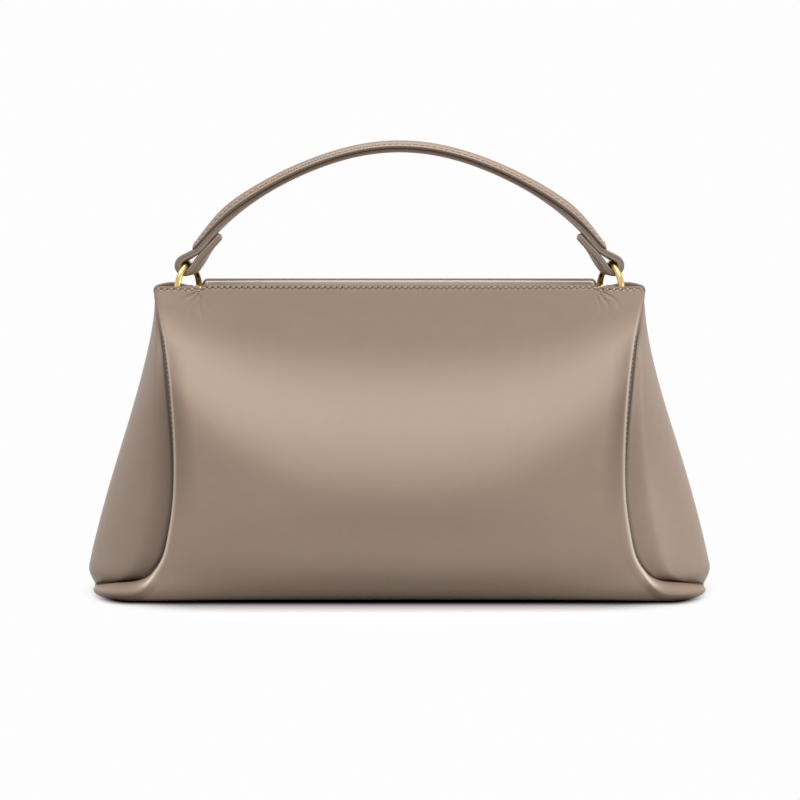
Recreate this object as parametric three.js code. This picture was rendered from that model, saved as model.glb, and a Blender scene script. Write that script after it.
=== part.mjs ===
// A soft leather handbag: two panels that wrap under the base, two bulging gussets, a fabric lining over
// a stiff base board, a magnetic snap at the mouth, and a padded handle on two brass D-rings.
// Millimetres, +Z up, +X to the right of someone facing the bag, whose front looks towards -Y.
import * as THREE from 'three';

// Body of the bag
const BODY_HEIGHT = 175;
const MOUTH_LENGTH = 277;
const MOUTH_GAP = 38;
const MOUTH_END_GAP = 33;
const END_RIM_DROP = 2;
const RIM_CORNER_DROP = 2;
const COLLAR_HEIGHT = 152;
const COLLAR_DEPTH = 44;
const COLLAR_SEAM = 272;
const COLLAR_SEAM_DEPTH = 46;
const SHOULDER_HEIGHT = 130;
const SHOULDER_DEPTH = 56;
const SHOULDER_SEAM = 265;
const SHOULDER_SEAM_DEPTH = 88;
const HIP_HEIGHT = 80;
const HIP_DEPTH = 127;
const WAIST_HEIGHT = 66;
const WAIST_SEAM = 255;
const WAIST_SEAM_DEPTH = 101;
const BELLY_HEIGHT = 38;
const BELLY_DEPTH = 132;
const BASE_LENGTH = 342;
const BASE_DEPTH = 108;
const GUSSET_BULGE = 4.5;

// How far the leather rolls in from its seams and stands proud of them, and how the seams and gussets swell
const RIM_ROLL = 4.5;
const RIM_PROUD = 1.5;
const SIDE_ROLL = 6.5;
const SHOULDER_PROUD = 3;
const SIDE_PROUD = 7;
const BELLY_PROUD = 7.5;
const SHOULDER_FLARE = 7.8;
const SHOULDER_SAG = 8;
const GUSSET_DRAW = 13.5;
const SEAM_FLARE = 2.8;
const SEAM_SWELL = 2.5;
const TURN_IN = 1.5;
const LIP_LENGTH = 25;
const LIP_PROUD = 5.5;
const LIP_HEIGHT = 11;

// Sheet thicknesses and gaps
const LEATHER = 1.8;
const LINING = 0.6;
const FACING = 1.6;
const FIT_GAP = 0.3;
const SEAM_GAP = 0.5;

// Facing strips behind the middle of the rim, and the pocket
const FACING_LENGTH = 223;
const POCKET_LENGTH = 150;
const POCKET_FABRIC = 0.5;

// Base board
const BOARD_LENGTH = 296;
const BOARD_DEPTH = 96;
const BOARD_CORNER = 22;
const BOARD = 2.5;

// Magnetic snap
const SNAP_DIAMETER = 14;
const SNAP_STUD_DIAMETER = 5;
const SNAP_SOCKET_HEIGHT = 3.6;
const SNAP_STUD_HEIGHT = 2.4;
const SNAP_PLATE = 1.6;
const SNAP_EDGE = 0.6;
const WASHER_DIAMETER = 12;
const WASHER_BORE = 4;
const WASHER = 0.6;

// D-rings and the tabs that hold them
const RING_WIRE = 3.2;
const RING_WIDTH = 27.5;
const RING_ARCH = 12.5;
const RING_FOOT = 4;
const RING_TURN = THREE.MathUtils.degToRad(60);
const RING_FROM_MOUTH_END = 19.2;
const RING_BAR_DROP = 6.5;
const TAB_WIDTH = 6.8;
const TAB_PLY = 1.6;
const TAB_BORE_WIDTH = 4.7;
const TAB_BORE_HEIGHT = 10.6;
const TAB_DROP = 14;
const TAB_FOOT_TOP = 146;
const TAB_FOOT_END = 106;
const TAB_SEAT_GAP = 0.5;
const TAB_LEVELS = 10;

// Handle
const HANDLE_RISE = 65.3;
const STRAP_WIDTH = 9;
const STRAP_PLY = 2.4;
const LOOP_BORE = 11.4;
const LOOP_PLY = 2;
const LOOP_DROP = 0.7;
const LOOP_POINT = 10;
const NECK_LENGTH = 12;
const RETURN_TAB_LENGTH = 26;
const CAP_RISE = 3.8;
const CAP_LEATHER = 1.2;
const CAP_WIDTH = 10;

// Shape of the body: nine stations down the bag, each with the middle of the front panel, the proud roll
// beside the seam, the seam itself and the middle of the gusset. The left and right seams mirror each other.
const mouthX = MOUTH_LENGTH / 2;
const mouthEndY = -MOUTH_END_GAP / 2;
const collarX = COLLAR_SEAM / 2;
const collarY = -COLLAR_SEAM_DEPTH / 2;
const waistX = WAIST_SEAM / 2;
const seamY = -WAIST_SEAM_DEPTH / 2;
const hipY = -HIP_DEPTH / 2;
const bellyY = -BELLY_DEPTH / 2;
const baseX = BASE_LENGTH / 2;
const baseY = -BASE_DEPTH / 2;
const gussetX = baseX + GUSSET_BULGE;
const shoulderX = SHOULDER_SEAM / 2;
const shoulderY = -SHOULDER_SEAM_DEPTH / 2;
const shoulderZ = SHOULDER_HEIGHT - SHOULDER_SAG;
const bellyX = waistX + SEAM_FLARE;
const bellyZ = BELLY_HEIGHT * 1.03;
const stations = [
  {
    centre: [0, -MOUTH_GAP / 2, BODY_HEIGHT],
    roll: [mouthX - RIM_ROLL, mouthEndY - RIM_PROUD, BODY_HEIGHT],
    seam: [mouthX, mouthEndY, BODY_HEIGHT - RIM_CORNER_DROP],
    end: [mouthX, 0, BODY_HEIGHT],
  },
  {
    centre: [0, -COLLAR_DEPTH / 2, COLLAR_HEIGHT],
    roll: [collarX - RIM_ROLL, collarY - RIM_PROUD, COLLAR_HEIGHT],
    seam: [collarX, collarY, COLLAR_HEIGHT - RIM_CORNER_DROP],
    end: [mouthX + SHOULDER_FLARE * 0.28, 0, COLLAR_HEIGHT],
  },
  {
    centre: [0, -SHOULDER_DEPTH / 2, SHOULDER_HEIGHT],
    roll: [shoulderX - SIDE_ROLL, shoulderY - SHOULDER_PROUD, shoulderZ],
    seam: [shoulderX, shoulderY, shoulderZ],
    end: [mouthX + SHOULDER_FLARE, 0, shoulderZ],
  },
  {
    centre: [0, hipY, HIP_HEIGHT],
    roll: [waistX - SIDE_ROLL, seamY - SIDE_PROUD, WAIST_HEIGHT],
    seam: [waistX, seamY, WAIST_HEIGHT],
    end: [gussetX - GUSSET_DRAW, 0, WAIST_HEIGHT],
  },
  {
    centre: [0, bellyY, BELLY_HEIGHT],
    roll: [bellyX - SIDE_ROLL, seamY - SEAM_SWELL - BELLY_PROUD, bellyZ],
    seam: [bellyX, seamY - SEAM_SWELL, bellyZ],
    end: [gussetX - GUSSET_BULGE * 1.33, 0, bellyZ],
  },
  {
    centre: [0, bellyY + TURN_IN, BELLY_HEIGHT * 0.37],
    roll: [waistX + SEAM_FLARE * 1.25, bellyY + TURN_IN * 3, BELLY_HEIGHT * 0.42],
    seam: [waistX + SEAM_FLARE * 3, seamY - SEAM_SWELL * 0.92, BELLY_HEIGHT * 0.55],
    end: [gussetX - GUSSET_BULGE * 0.29, 0, BELLY_HEIGHT * 0.53],
  },
  {
    centre: [0, baseY, 0],
    roll: [baseX - LIP_LENGTH, baseY - LIP_PROUD, LIP_HEIGHT * 0.09],
    seam: [baseX - LIP_LENGTH * 1.02, seamY + SEAM_GAP, LIP_HEIGHT],
    end: [gussetX, 0, LIP_HEIGHT * 1.09],
  },
  {
    centre: [0, baseY * 0.52, 0],
    roll: [baseX - LIP_LENGTH * 0.18, baseY * 0.78, 0],
    seam: [baseX - LIP_LENGTH * 0.5, seamY * 0.65, LIP_HEIGHT * 0.62],
    end: [gussetX - GUSSET_BULGE * 0.38, 0, LIP_HEIGHT * 0.655],
  },
  {
    centre: [0, -SEAM_GAP / 2, 0],
    roll: [baseX - LIP_LENGTH * 0.06, -SEAM_GAP * 2.2, 0],
    seam: [baseX, -SEAM_GAP * 2.4, LIP_HEIGHT * 0.41],
    end: [baseX + GUSSET_BULGE * 0.16, 0, LIP_HEIGHT * 0.43],
  },
];
const pointsOf = (part) => stations.map((station) => new THREE.Vector3(...station[part]));
const lineOf = (part) => new THREE.CatmullRomCurve3(pointsOf(part));
const lines = { centre: lineOf('centre'), roll: lineOf('roll'), seam: lineOf('seam'), end: lineOf('end') };

// Rows count the stations from the rim down; the collar is half a row below the rim
const LAST_ROW = stations.length - 2;
const onLine = (part, down) => lines[part].getPoint((down < 1 ? 2 * down : down + 1) / (LAST_ROW + 1));

// Grid lines across a panel (0 middle, 2 roll, 3 seam), across a gusset (0 middle, 1 seam) and down both
const HALF_PANEL = [0, 0.35, 0.7, 1, 1.3, 1.8, 2, 2.35, 2.7, 3];
const GUSSET_COLUMNS = [-1, -0.85, -0.6, -0.3, 0, 0.3, 0.6, 0.85, 1];
const ROWS = [0, 0.08, 0.45, 0.8, 1, 1.25, 1.5, 1.75, 2, 2.5, 3, 3.5, 4, 4.33, 4.67, 5, 5.5, 6, 6.5, 7];
const FACING_END_ROW = 0.8;
const SNAP_ROW = 0.45;
const RIM_STEP_ROW = 0.45;
const LINING_END_ROW = 4.33;
const GUSSET_LINING_END_ROW = 5;
const RIM_ROW = 0.08;
const POCKET_ROWS = [1, 2];
const RIM_STEP_BLEND = 2.5;
const GUSSET_FULLNESS = 2.2;
const QUARTER_ACROSS = 0.6;
const STEP = 0.01;

const ease = (value, low, high) => THREE.MathUtils.smoothstep(value, low, high);

// The rim stands a little lower past the ends of the facing strips, and the base is flat on the ground
function settled(point, down) {
  const facingEnd = FACING_LENGTH / 2;
  const aside = ease(Math.abs(point.x), facingEnd - RIM_STEP_BLEND, facingEnd + RIM_STEP_BLEND);
  point.z -= END_RIM_DROP * aside * Math.max(0, 1 - down / RIM_STEP_ROW);
  point.z = Math.max(0, point.z);
  return point;
}

function panelPoint(across, down) {
  const [centre, roll, seam] = ['centre', 'roll', 'seam'].map((part) => onLine(part, down));
  const quarter = centre.clone().lerp(roll, QUARTER_ACROSS ** 2).setX(roll.x * QUARTER_ACROSS);
  const opposite = quarter.clone().setX(-quarter.x);
  const section = new THREE.CatmullRomCurve3([opposite, centre, quarter, roll, seam]);
  const limit = 3 - SEAM_GAP / 2 / roll.distanceTo(seam);
  const point = section.getPoint((1 + Math.min(Math.abs(across), limit)) / 4);
  point.x *= Math.sign(across);
  return settled(point, down);
}

// The left gusset: the front seam at +1, the rear one at -1
function gussetPoint(across, down) {
  const [seam, end] = ['seam', 'end'].map((part) => onLine(part, down));
  const limit = 1 - SEAM_GAP / 2 / Math.abs(seam.y);
  const share = THREE.MathUtils.clamp(across, -limit, limit);
  const fall = Math.abs(share) ** GUSSET_FULLNESS;
  const point = end.clone().lerp(seam, fall);
  point.set(-point.x, seam.y * share, point.z);
  return settled(point, down);
}

function outward(surface, across, down) {
  const side = surface(across + STEP, down).sub(surface(across - STEP, down));
  const below = surface(across, Math.min(down + STEP, LAST_ROW));
  const fall = below.sub(surface(across, Math.max(down - STEP, 0)));
  const normal = side.cross(fall).normalize();
  const fromInside = surface(across, down).sub(new THREE.Vector3(0, 0, BELLY_HEIGHT));
  return normal.dot(fromInside) < 0 ? normal.negate() : normal;
}

// Direction of the mitre where a panel meets a gusset, long enough to keep both at full thickness
function mitre(down) {
  const panel = outward(panelPoint, -3, down);
  const gusset = outward(gussetPoint, 1, down);
  const middle = panel.clone().add(gusset).normalize();
  return middle.divideScalar(Math.max(0.7, middle.dot(panel)));
}

// A point of the front panel, or of the left gusset, at some depth below its outer face
function panelAt(across, down, depth) {
  const side = mitre(down);
  side.x *= across > 0 ? -1 : 1;
  const inwards = outward(panelPoint, across, down).lerp(side, ease(Math.abs(across), 2, 3));
  return panelPoint(across, down).addScaledVector(inwards, -depth);
}

function gussetAt(across, down, depth) {
  const side = mitre(down);
  side.y *= across < 0 ? -1 : 1;
  const inwards = outward(gussetPoint, across, down).lerp(side, ease(Math.abs(across), 0.6, 1));
  return gussetPoint(across, down).addScaledVector(inwards, -depth);
}

// Closed body from points and faces of three or four corners, with its faces turned outwards
function body(points, faces) {
  const triangles = [];
  for (const [a, b, c, d] of faces) {
    triangles.push(a, b, c);
    if (d !== undefined) triangles.push(a, c, d);
  }
  let volume = 0;
  for (let i = 0; i < triangles.length; i += 3) {
    const [a, b, c] = [0, 1, 2].map((corner) => points[triangles[i + corner]]);
    volume += a.dot(b.clone().cross(c));
  }
  if (volume < 0) triangles.reverse();
  const geometry = new THREE.BufferGeometry().setFromPoints(points);
  geometry.setIndex(triangles);
  geometry.computeVertexNormals();
  return geometry;
}

// A sheet between an outer and an inner surface over the same grid
function sheet(columns, rows, outer, inner) {
  const wide = columns.length;
  const tall = rows.length;
  const grid = (surface) => rows.flatMap((row) => columns.map((column) => surface(column, row)));
  const points = [...grid(outer), ...grid(inner)];
  const out = (i, j) => j * wide + i;
  const into = (i, j) => wide * tall + out(i, j);
  const faces = [];
  for (let j = 0; j + 1 < tall; j += 1) {
    for (let i = 0; i + 1 < wide; i += 1) {
      faces.push([out(i, j), out(i, j + 1), out(i + 1, j + 1), out(i + 1, j)]);
      faces.push([into(i, j), into(i + 1, j), into(i + 1, j + 1), into(i, j + 1)]);
    }
    faces.push([out(0, j), into(0, j), into(0, j + 1), out(0, j + 1)]);
    faces.push([out(wide - 1, j + 1), into(wide - 1, j + 1), into(wide - 1, j), out(wide - 1, j)]);
  }
  for (let i = 0; i + 1 < wide; i += 1) {
    faces.push([out(i, 0), out(i + 1, 0), into(i + 1, 0), into(i, 0)]);
    faces.push([out(i, tall - 1), into(i, tall - 1), into(i + 1, tall - 1), out(i + 1, tall - 1)]);
  }
  return body(points, faces);
}

// The side of a bar swept through rings of equally many points, with its ends still open
function sweep(rings) {
  const count = rings[0].length;
  const points = rings.flat();
  const faces = [];
  for (let k = 0; k + 1 < rings.length; k += 1) {
    for (let i = 0; i < count; i += 1) {
      const next = (i + 1) % count;
      faces.push([k * count + i, k * count + next, (k + 1) * count + next, (k + 1) * count + i]);
    }
  }
  return { points, faces, count };
}

// A copy mirrored across the bag's length (x = -1) or its depth (y = -1)
function mirrored(geometry, x, y) {
  const copy = geometry.clone().scale(x, y, 1);
  const inOrder = [...Array(copy.attributes.position.count).keys()];
  const corners = copy.index ? [...copy.index.array] : inOrder;
  if (x * y < 0) corners.reverse();
  copy.setIndex(corners);
  copy.computeVertexNormals();
  return copy;
}

const between = (list, low, high) => list.filter((value) => value >= low && value <= high);

// Where a steadily rising or falling measure reaches its target
function reached(measure, low, high, target) {
  const rising = measure(high) > measure(low);
  let [start, end] = [low, high];
  for (let k = 0; k < 40; k += 1) {
    const middle = (start + end) / 2;
    if (measure(middle) < target === rising) start = middle;
    else end = middle;
  }
  return start;
}

const columnAt = (x, down) => reached((across) => panelPoint(across, down).x, 0.01, 3, x);
const gussetRowAt = (height) => reached((down) => onLine('end', down).z, 0, LAST_ROW, height);

// Columns from the left edge to the right edge of a piece, symmetrical about the middle
function columnsTo(last, extra = []) {
  const half = [...between(HALF_PANEL, 0, last - STEP), ...extra, last].sort((a, b) => a - b);
  return [...half.slice(1).reverse().map((value) => -value), ...half];
}

const rimStep = [-RIM_STEP_BLEND, RIM_STEP_BLEND].map((shift) => columnAt(FACING_LENGTH / 2 + shift, 0));
const PANEL_COLUMNS = columnsTo(3, rimStep);

// Depths of the layers below the leather's outer face
const liningDepth = LEATHER + FIT_GAP;
const liningBack = liningDepth + LINING;
const facingDepth = liningBack + FIT_GAP;
const washerRoom = WASHER + 2 * FIT_GAP;
const facingDepthAt = (down) => facingDepth + washerRoom * ease(down, 0, RIM_ROW);

function panel() {
  return sheet(
    PANEL_COLUMNS,
    ROWS,
    (across, down) => panelPoint(across, down),
    (across, down) => panelAt(across, down, LEATHER),
  );
}

function gusset() {
  return sheet(
    GUSSET_COLUMNS,
    ROWS,
    (across, down) => gussetPoint(across, down),
    (across, down) => gussetAt(across, down, LEATHER),
  );
}

function panelLining() {
  return sheet(
    PANEL_COLUMNS,
    between(ROWS, 0, LINING_END_ROW),
    (across, down) => panelAt(across, down, liningDepth),
    (across, down) => panelAt(across, down, liningBack),
  );
}

function gussetLining() {
  return sheet(
    GUSSET_COLUMNS,
    between(ROWS, 0, GUSSET_LINING_END_ROW),
    (across, down) => gussetAt(across, down, liningDepth),
    (across, down) => gussetAt(across, down, liningBack),
  );
}

function facing() {
  return sheet(
    columnsTo(columnAt(FACING_LENGTH / 2, 0)),
    between(ROWS, 0, FACING_END_ROW),
    (across, down) => panelAt(across, down, facingDepthAt(down)),
    (across, down) => panelAt(across, down, facingDepthAt(down) + FACING),
  );
}

function slipPocket() {
  return sheet(
    columnsTo(columnAt(POCKET_LENGTH / 2, POCKET_ROWS[0])),
    between(ROWS, ...POCKET_ROWS),
    (across, down) => panelAt(across, down, liningBack + FIT_GAP),
    (across, down) => panelAt(across, down, liningBack + FIT_GAP + POCKET_FABRIC),
  );
}

function extruded(outline, depth, curveSegments) {
  return new THREE.ExtrudeGeometry(outline, { depth, curveSegments, bevelEnabled: false });
}

function roundedPlate(length, depth, corner, thickness, bottom) {
  const [x, y] = [length / 2, depth / 2];
  const outline = new THREE.Shape();
  outline.moveTo(x - corner, -y);
  outline.absarc(x - corner, corner - y, corner, -Math.PI / 2, 0);
  outline.absarc(x - corner, y - corner, corner, 0, Math.PI / 2);
  outline.absarc(corner - x, y - corner, corner, Math.PI / 2, Math.PI);
  outline.absarc(corner - x, corner - y, corner, Math.PI, Math.PI * 1.5);
  return extruded(outline, thickness, 6).translate(0, 0, bottom);
}

const boardBottom = LEATHER + FIT_GAP;
const baseBoard = () => roundedPlate(BOARD_LENGTH, BOARD_DEPTH, BOARD_CORNER, BOARD, boardBottom);
const baseLiningBottom = boardBottom + BOARD + FIT_GAP;
const baseLining = () => roundedPlate(BOARD_LENGTH, BOARD_DEPTH, BOARD_CORNER, LINING, baseLiningBottom);

// Snap pieces are turned about Y, then stood on the front facing at some depth, looking into the bag
function onFacing(profile, depth) {
  const turned = new THREE.LatheGeometry(profile.map((corner) => new THREE.Vector2(...corner)), 20);
  const seat = panelAt(0, SNAP_ROW, depth);
  const inwards = outward(panelPoint, 0, SNAP_ROW).negate();
  turned.applyQuaternion(new THREE.Quaternion().setFromUnitVectors(new THREE.Vector3(0, 1, 0), inwards));
  return turned.translate(seat.x, seat.y, seat.z);
}

const snapDepth = facingDepth + washerRoom + FACING + FIT_GAP;

function snapSocket() {
  const radius = SNAP_DIAMETER / 2;
  const bore = SNAP_STUD_DIAMETER / 2 + FIT_GAP;
  const floor = SNAP_SOCKET_HEIGHT - SNAP_STUD_HEIGHT;
  const top = SNAP_SOCKET_HEIGHT;
  const edge = [[radius, 0], [radius, top - SNAP_EDGE], [radius - SNAP_EDGE, top]];
  return onFacing([[0, 0], ...edge, [bore, top], [bore, floor], [0, floor]], snapDepth);
}

function snapStud() {
  const radius = SNAP_DIAMETER / 2;
  const stud = SNAP_STUD_DIAMETER / 2;
  const top = SNAP_PLATE + SNAP_STUD_HEIGHT - FIT_GAP;
  const edge = [[radius, 0], [radius, SNAP_PLATE - SNAP_EDGE], [radius - SNAP_EDGE, SNAP_PLATE]];
  return onFacing([[0, 0], ...edge, [stud, SNAP_PLATE], [stud, top], [0, top]], snapDepth);
}

function snapWasher() {
  const [outer, bore] = [WASHER_DIAMETER / 2, WASHER_BORE / 2];
  const section = [[bore, 0], [outer, 0], [outer, WASHER], [bore, WASHER], [bore, 0]];
  return onFacing(section, facingDepth + FIT_GAP / 2);
}

// D-ring: a round arch over a flat-bottomed foot, in an upright plane turned about Z
class RingLine extends THREE.Curve {
  getPoint(t, target = new THREE.Vector3()) {
    const angle = t * Math.PI * 2;
    const [along, up] = [Math.cos(angle), Math.sin(angle)];
    const foot = (value) => Math.sign(value) * Math.sqrt(Math.abs(value));
    const reach = (RING_WIDTH - RING_WIRE) / 2;
    if (up >= 0) return target.set(reach * along, 0, RING_ARCH * up);
    return target.set(reach * foot(along), 0, RING_FOOT * foot(up));
  }
}

const ringX = mouthX - RING_FROM_MOUTH_END;
const barZ = BODY_HEIGHT - RING_BAR_DROP;
const apexZ = barZ + RING_FOOT + RING_ARCH;

function leftRing() {
  const ring = new THREE.TubeGeometry(new RingLine(), 36, RING_WIRE / 2, 8, true);
  return ring.rotateZ(RING_TURN).translate(-ringX, 0, barZ + RING_FOOT);
}

// Ring tab: drawn straight with its bore at the origin, as places, cells and rim edges of a flat sheet
function tabSheet(length) {
  const [boreX, boreZ] = [TAB_BORE_WIDTH / 2, TAB_BORE_HEIGHT / 2];
  const neck = -boreZ - 2 * TAB_PLY;
  const loop = new THREE.Shape();
  loop.moveTo(TAB_PLY, neck);
  loop.quadraticCurveTo(boreX + TAB_PLY, neck / 2, boreX + TAB_PLY, 0);
  loop.absellipse(0, 0, boreX + TAB_PLY, boreZ + TAB_PLY, 0, Math.PI);
  loop.quadraticCurveTo(-boreX - TAB_PLY, neck / 2, -TAB_PLY, neck);
  loop.holes.push(new THREE.Path().absellipse(0, 0, boreX, boreZ, 0, Math.PI * 2, true));
  const { shape, holes } = loop.extractPoints(8);
  const cells = THREE.ShapeUtils.triangulateShape(shape, holes);
  const places = [...shape, ...holes[0]];
  const rims = shape.slice(1).map((_, k) => [k, k + 1]);
  const hole = holes[0].map((_, k) => shape.length + k);
  hole.forEach((place, k) => rims.push([place, hole[(k + 1) % hole.length]]));
  let [left, right] = [shape.length - 1, 0];
  for (let k = 1; k <= TAB_LEVELS; k += 1) {
    const along = neck - ((length + neck) * k) / TAB_LEVELS;
    const lower = places.push(new THREE.Vector2(-TAB_PLY, along), new THREE.Vector2(TAB_PLY, along)) - 2;
    cells.push([left, lower, lower + 1, right]);
    rims.push([left, lower], [lower + 1, right]);
    [left, right] = [lower, lower + 1];
  }
  rims.push([left, right]);
  return { places, cells, rims };
}

// The way of the tab's middle line from the ring down to its seat on the gusset
function tabRoute() {
  const seatDepth = liningBack + TAB_SEAT_GAP + TAB_PLY;
  const seat = (height) => gussetAt(0, gussetRowAt(height), seatDepth);
  const seats = [0, 1, 2, 3].map((k) => seat(TAB_FOOT_TOP - ((TAB_FOOT_TOP - TAB_FOOT_END) * k) / 3));
  const bore = new THREE.Vector3(-ringX, 0, barZ);
  const below = bore.clone().setZ(barZ - TAB_DROP);
  const bend = new THREE.CubicBezierCurve3(bore, below, seats[0], seats[1]);
  return new THREE.CatmullRomCurve3([...bend.getPoints(5), seats[2], seats[3]]);
}

function leftRingTab() {
  const route = tabRoute();
  const length = route.getLength();
  const { places, cells, rims } = tabSheet(length);
  const bent = (place, wide) => {
    const share = THREE.MathUtils.clamp(-place.y / length, 0, 1);
    const down = route.getTangentAt(share);
    const twist = (Math.PI / 2 - RING_TURN) * (1 - ease(share, 0.15, 0.5));
    const width = new THREE.Vector3(Math.sin(twist), Math.cos(twist), 0);
    const face = width.clone().cross(down).normalize();
    const up = width.clone().cross(face);
    const middle = route.getPointAt(share).addScaledVector(face, place.x);
    return middle.addScaledVector(width, wide).addScaledVector(up, Math.max(place.y, 0));
  };
  const count = places.length;
  const points = [-TAB_WIDTH / 2, TAB_WIDTH / 2].flatMap((wide) => places.map((place) => bent(place, wide)));
  const back = cells.map((cell) => [...cell].reverse());
  const front = cells.map((cell) => cell.map((corner) => corner + count));
  const walls = rims.map(([from, to]) => [from, to, to + count, from + count]);
  return body(points, [...back, ...front, ...walls]);
}

// Handle: the strap's middle line is an arc through the middles of the two loops, just below the ring tops
const strapRadius = (ringX ** 2 + HANDLE_RISE ** 2) / (2 * HANDLE_RISE);
const arcZ = apexZ - LOOP_DROP + HANDLE_RISE - strapRadius;
const loopAngle = Math.asin(ringX / strapRadius);
const neckAngle = loopAngle - NECK_LENGTH / strapRadius;
const tabAngle = neckAngle - RETURN_TAB_LENGTH / strapRadius;
const onArc = (radius, angle) => new THREE.Vector2(radius * Math.sin(angle), arcZ + radius * Math.cos(angle));

// One loop of the strap: straight off the neck on both sides of a round end
function strapLoop(outline, centre, from, to) {
  const radius = LOOP_BORE / 2 + LOOP_PLY;
  const touching = (point, side) => {
    const offset = point.clone().sub(centre);
    return offset.angle() + side * Math.acos(radius / offset.length());
  };
  outline.absarc(centre.x, centre.y, radius, touching(from, -1), touching(to, 1), true);
  outline.lineTo(to.x, to.y);
}

function strapOutline() {
  const outer = strapRadius + STRAP_PLY / 2;
  const inner = strapRadius - STRAP_PLY / 2;
  const folded = inner - STRAP_PLY;
  const top = Math.PI / 2;
  const [right, left] = [loopAngle, -loopAngle].map((angle) => onArc(strapRadius, angle));
  const boreTip = loopAngle - LOOP_POINT / strapRadius;
  const outline = new THREE.Shape();
  outline.absarc(0, arcZ, outer, top + neckAngle, top - neckAngle, true);
  strapLoop(outline, right, onArc(outer, neckAngle), onArc(folded, neckAngle));
  outline.absarc(0, arcZ, folded, top - neckAngle, top - tabAngle, false);
  outline.absarc(0, arcZ, inner, top - tabAngle, top + tabAngle, false);
  outline.absarc(0, arcZ, folded, top + tabAngle, top + neckAngle, false);
  strapLoop(outline, left, onArc(folded, -neckAngle), onArc(outer, -neckAngle));
  outline.holes.push(loopBore(right, onArc(inner, boreTip)), loopBore(left, onArc(inner, -boreTip)));
  return outline;
}

// Teardrop: round about the ring, drawn out to a point between the strap's two plies
function loopBore(centre, point) {
  const radius = LOOP_BORE / 2;
  const offset = point.clone().sub(centre);
  const open = Math.acos(radius / offset.length());
  const facingPoint = offset.angle();
  const bore = new THREE.Path();
  bore.moveTo(point.x, point.y);
  bore.absarc(centre.x, centre.y, radius, facingPoint + open, facingPoint - open + Math.PI * 2, false);
  bore.lineTo(point.x, point.y);
  return bore;
}

function handleStrap() {
  const strap = extruded(strapOutline(), STRAP_WIDTH, 14);
  return strap.rotateX(Math.PI / 2).translate(0, STRAP_WIDTH / 2, 0);
}

const HANDLE_STEPS = 30;
const DOME_STEPS = 8;
const capBase = strapRadius + STRAP_PLY / 2 + FIT_GAP;

// Half-oval arch of points over the strap at one angle of the handle
function dome(angle, width, rise) {
  const points = [];
  for (let k = 0; k <= DOME_STEPS; k += 1) {
    const turn = (Math.PI * k) / DOME_STEPS;
    const place = onArc(capBase + rise * Math.sin(turn), angle);
    points.push(new THREE.Vector3(place.x, (width / 2) * Math.cos(turn), place.y));
  }
  return points;
}

function alongHandle(sectionAt) {
  const angles = [...Array(HANDLE_STEPS + 1).keys()].map((k) => neckAngle * ((2 * k) / HANDLE_STEPS - 1));
  return sweep(angles.map(sectionAt));
}

function handleCap() {
  const inner = [CAP_WIDTH - 2 * CAP_LEATHER, CAP_RISE - CAP_LEATHER];
  const sectionAt = (angle) => [...dome(angle, CAP_WIDTH, CAP_RISE), ...dome(angle, ...inner).reverse()];
  const { points, faces, count } = alongHandle(sectionAt);
  for (const [start, turned] of [[0, false], [HANDLE_STEPS * count, true]]) {
    for (let i = 0; i < DOME_STEPS; i += 1) {
      const face = [i, count - 1 - i, count - 2 - i, i + 1].map((corner) => start + corner);
      faces.push(turned ? face.reverse() : face);
    }
  }
  return body(points, faces);
}

function handleCore() {
  const width = CAP_WIDTH - 2 * CAP_LEATHER - 2 * FIT_GAP;
  const rise = CAP_RISE - CAP_LEATHER - FIT_GAP;
  const { points, faces, count } = alongHandle((angle) => dome(angle, width, rise));
  for (const [start, turned] of [[0, false], [HANDLE_STEPS * count, true]]) {
    for (let i = 1; i + 1 < count; i += 1) {
      const face = [start, start + i + 1, start + i];
      faces.push(turned ? face.reverse() : face);
    }
  }
  return body(points, faces);
}

// Materials and the assembled bag
function finish(color, roughness, metalness = 0) {
  return new THREE.MeshStandardMaterial({ color, roughness, metalness });
}

const leather = finish('#95826f', 0.5);
const edgeLeather = finish('#85715f', 0.55);
const liningCloth = finish('#8a7a68', 0.9);
const brass = finish('#d9b04c', 0.18, 1);
const steel = finish('#b9b6ae', 0.3, 1);
const board = finish('#6b5d50', 0.95);
const filler = finish('#cfc8bc', 0.95);

const bag = new THREE.Group();

function add(name, geometry, material) {
  const mesh = new THREE.Mesh(geometry, material);
  mesh.name = name;
  bag.add(mesh);
}

add('front_panel', panel(), leather);
add('rear_panel', mirrored(panel(), 1, -1), leather);
add('left_gusset', gusset(), leather);
add('right_gusset', mirrored(gusset(), -1, 1), leather);
add('front_lining', panelLining(), liningCloth);
add('rear_lining', mirrored(panelLining(), 1, -1), liningCloth);
add('left_lining', gussetLining(), liningCloth);
add('right_lining', mirrored(gussetLining(), -1, 1), liningCloth);
add('base_board', baseBoard(), board);
add('base_lining', baseLining(), liningCloth);
add('front_facing', facing(), edgeLeather);
add('rear_facing', mirrored(facing(), 1, -1), edgeLeather);
add('slip_pocket', mirrored(slipPocket(), 1, -1), liningCloth);
add('snap_socket', snapSocket(), steel);
add('socket_washer', snapWasher(), steel);
add('snap_stud', snapStud().rotateZ(Math.PI), steel);
add('stud_washer', snapWasher().rotateZ(Math.PI), steel);
add('left_ring_tab', leftRingTab(), edgeLeather);
add('right_ring_tab', mirrored(leftRingTab(), -1, 1), edgeLeather);
add('left_ring', leftRing(), brass);
add('right_ring', mirrored(leftRing(), -1, 1), brass);
add('handle_strap', handleStrap(), edgeLeather);
add('handle_cap', handleCap(), leather);
add('handle_core', handleCore(), filler);

export default bag;
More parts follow.
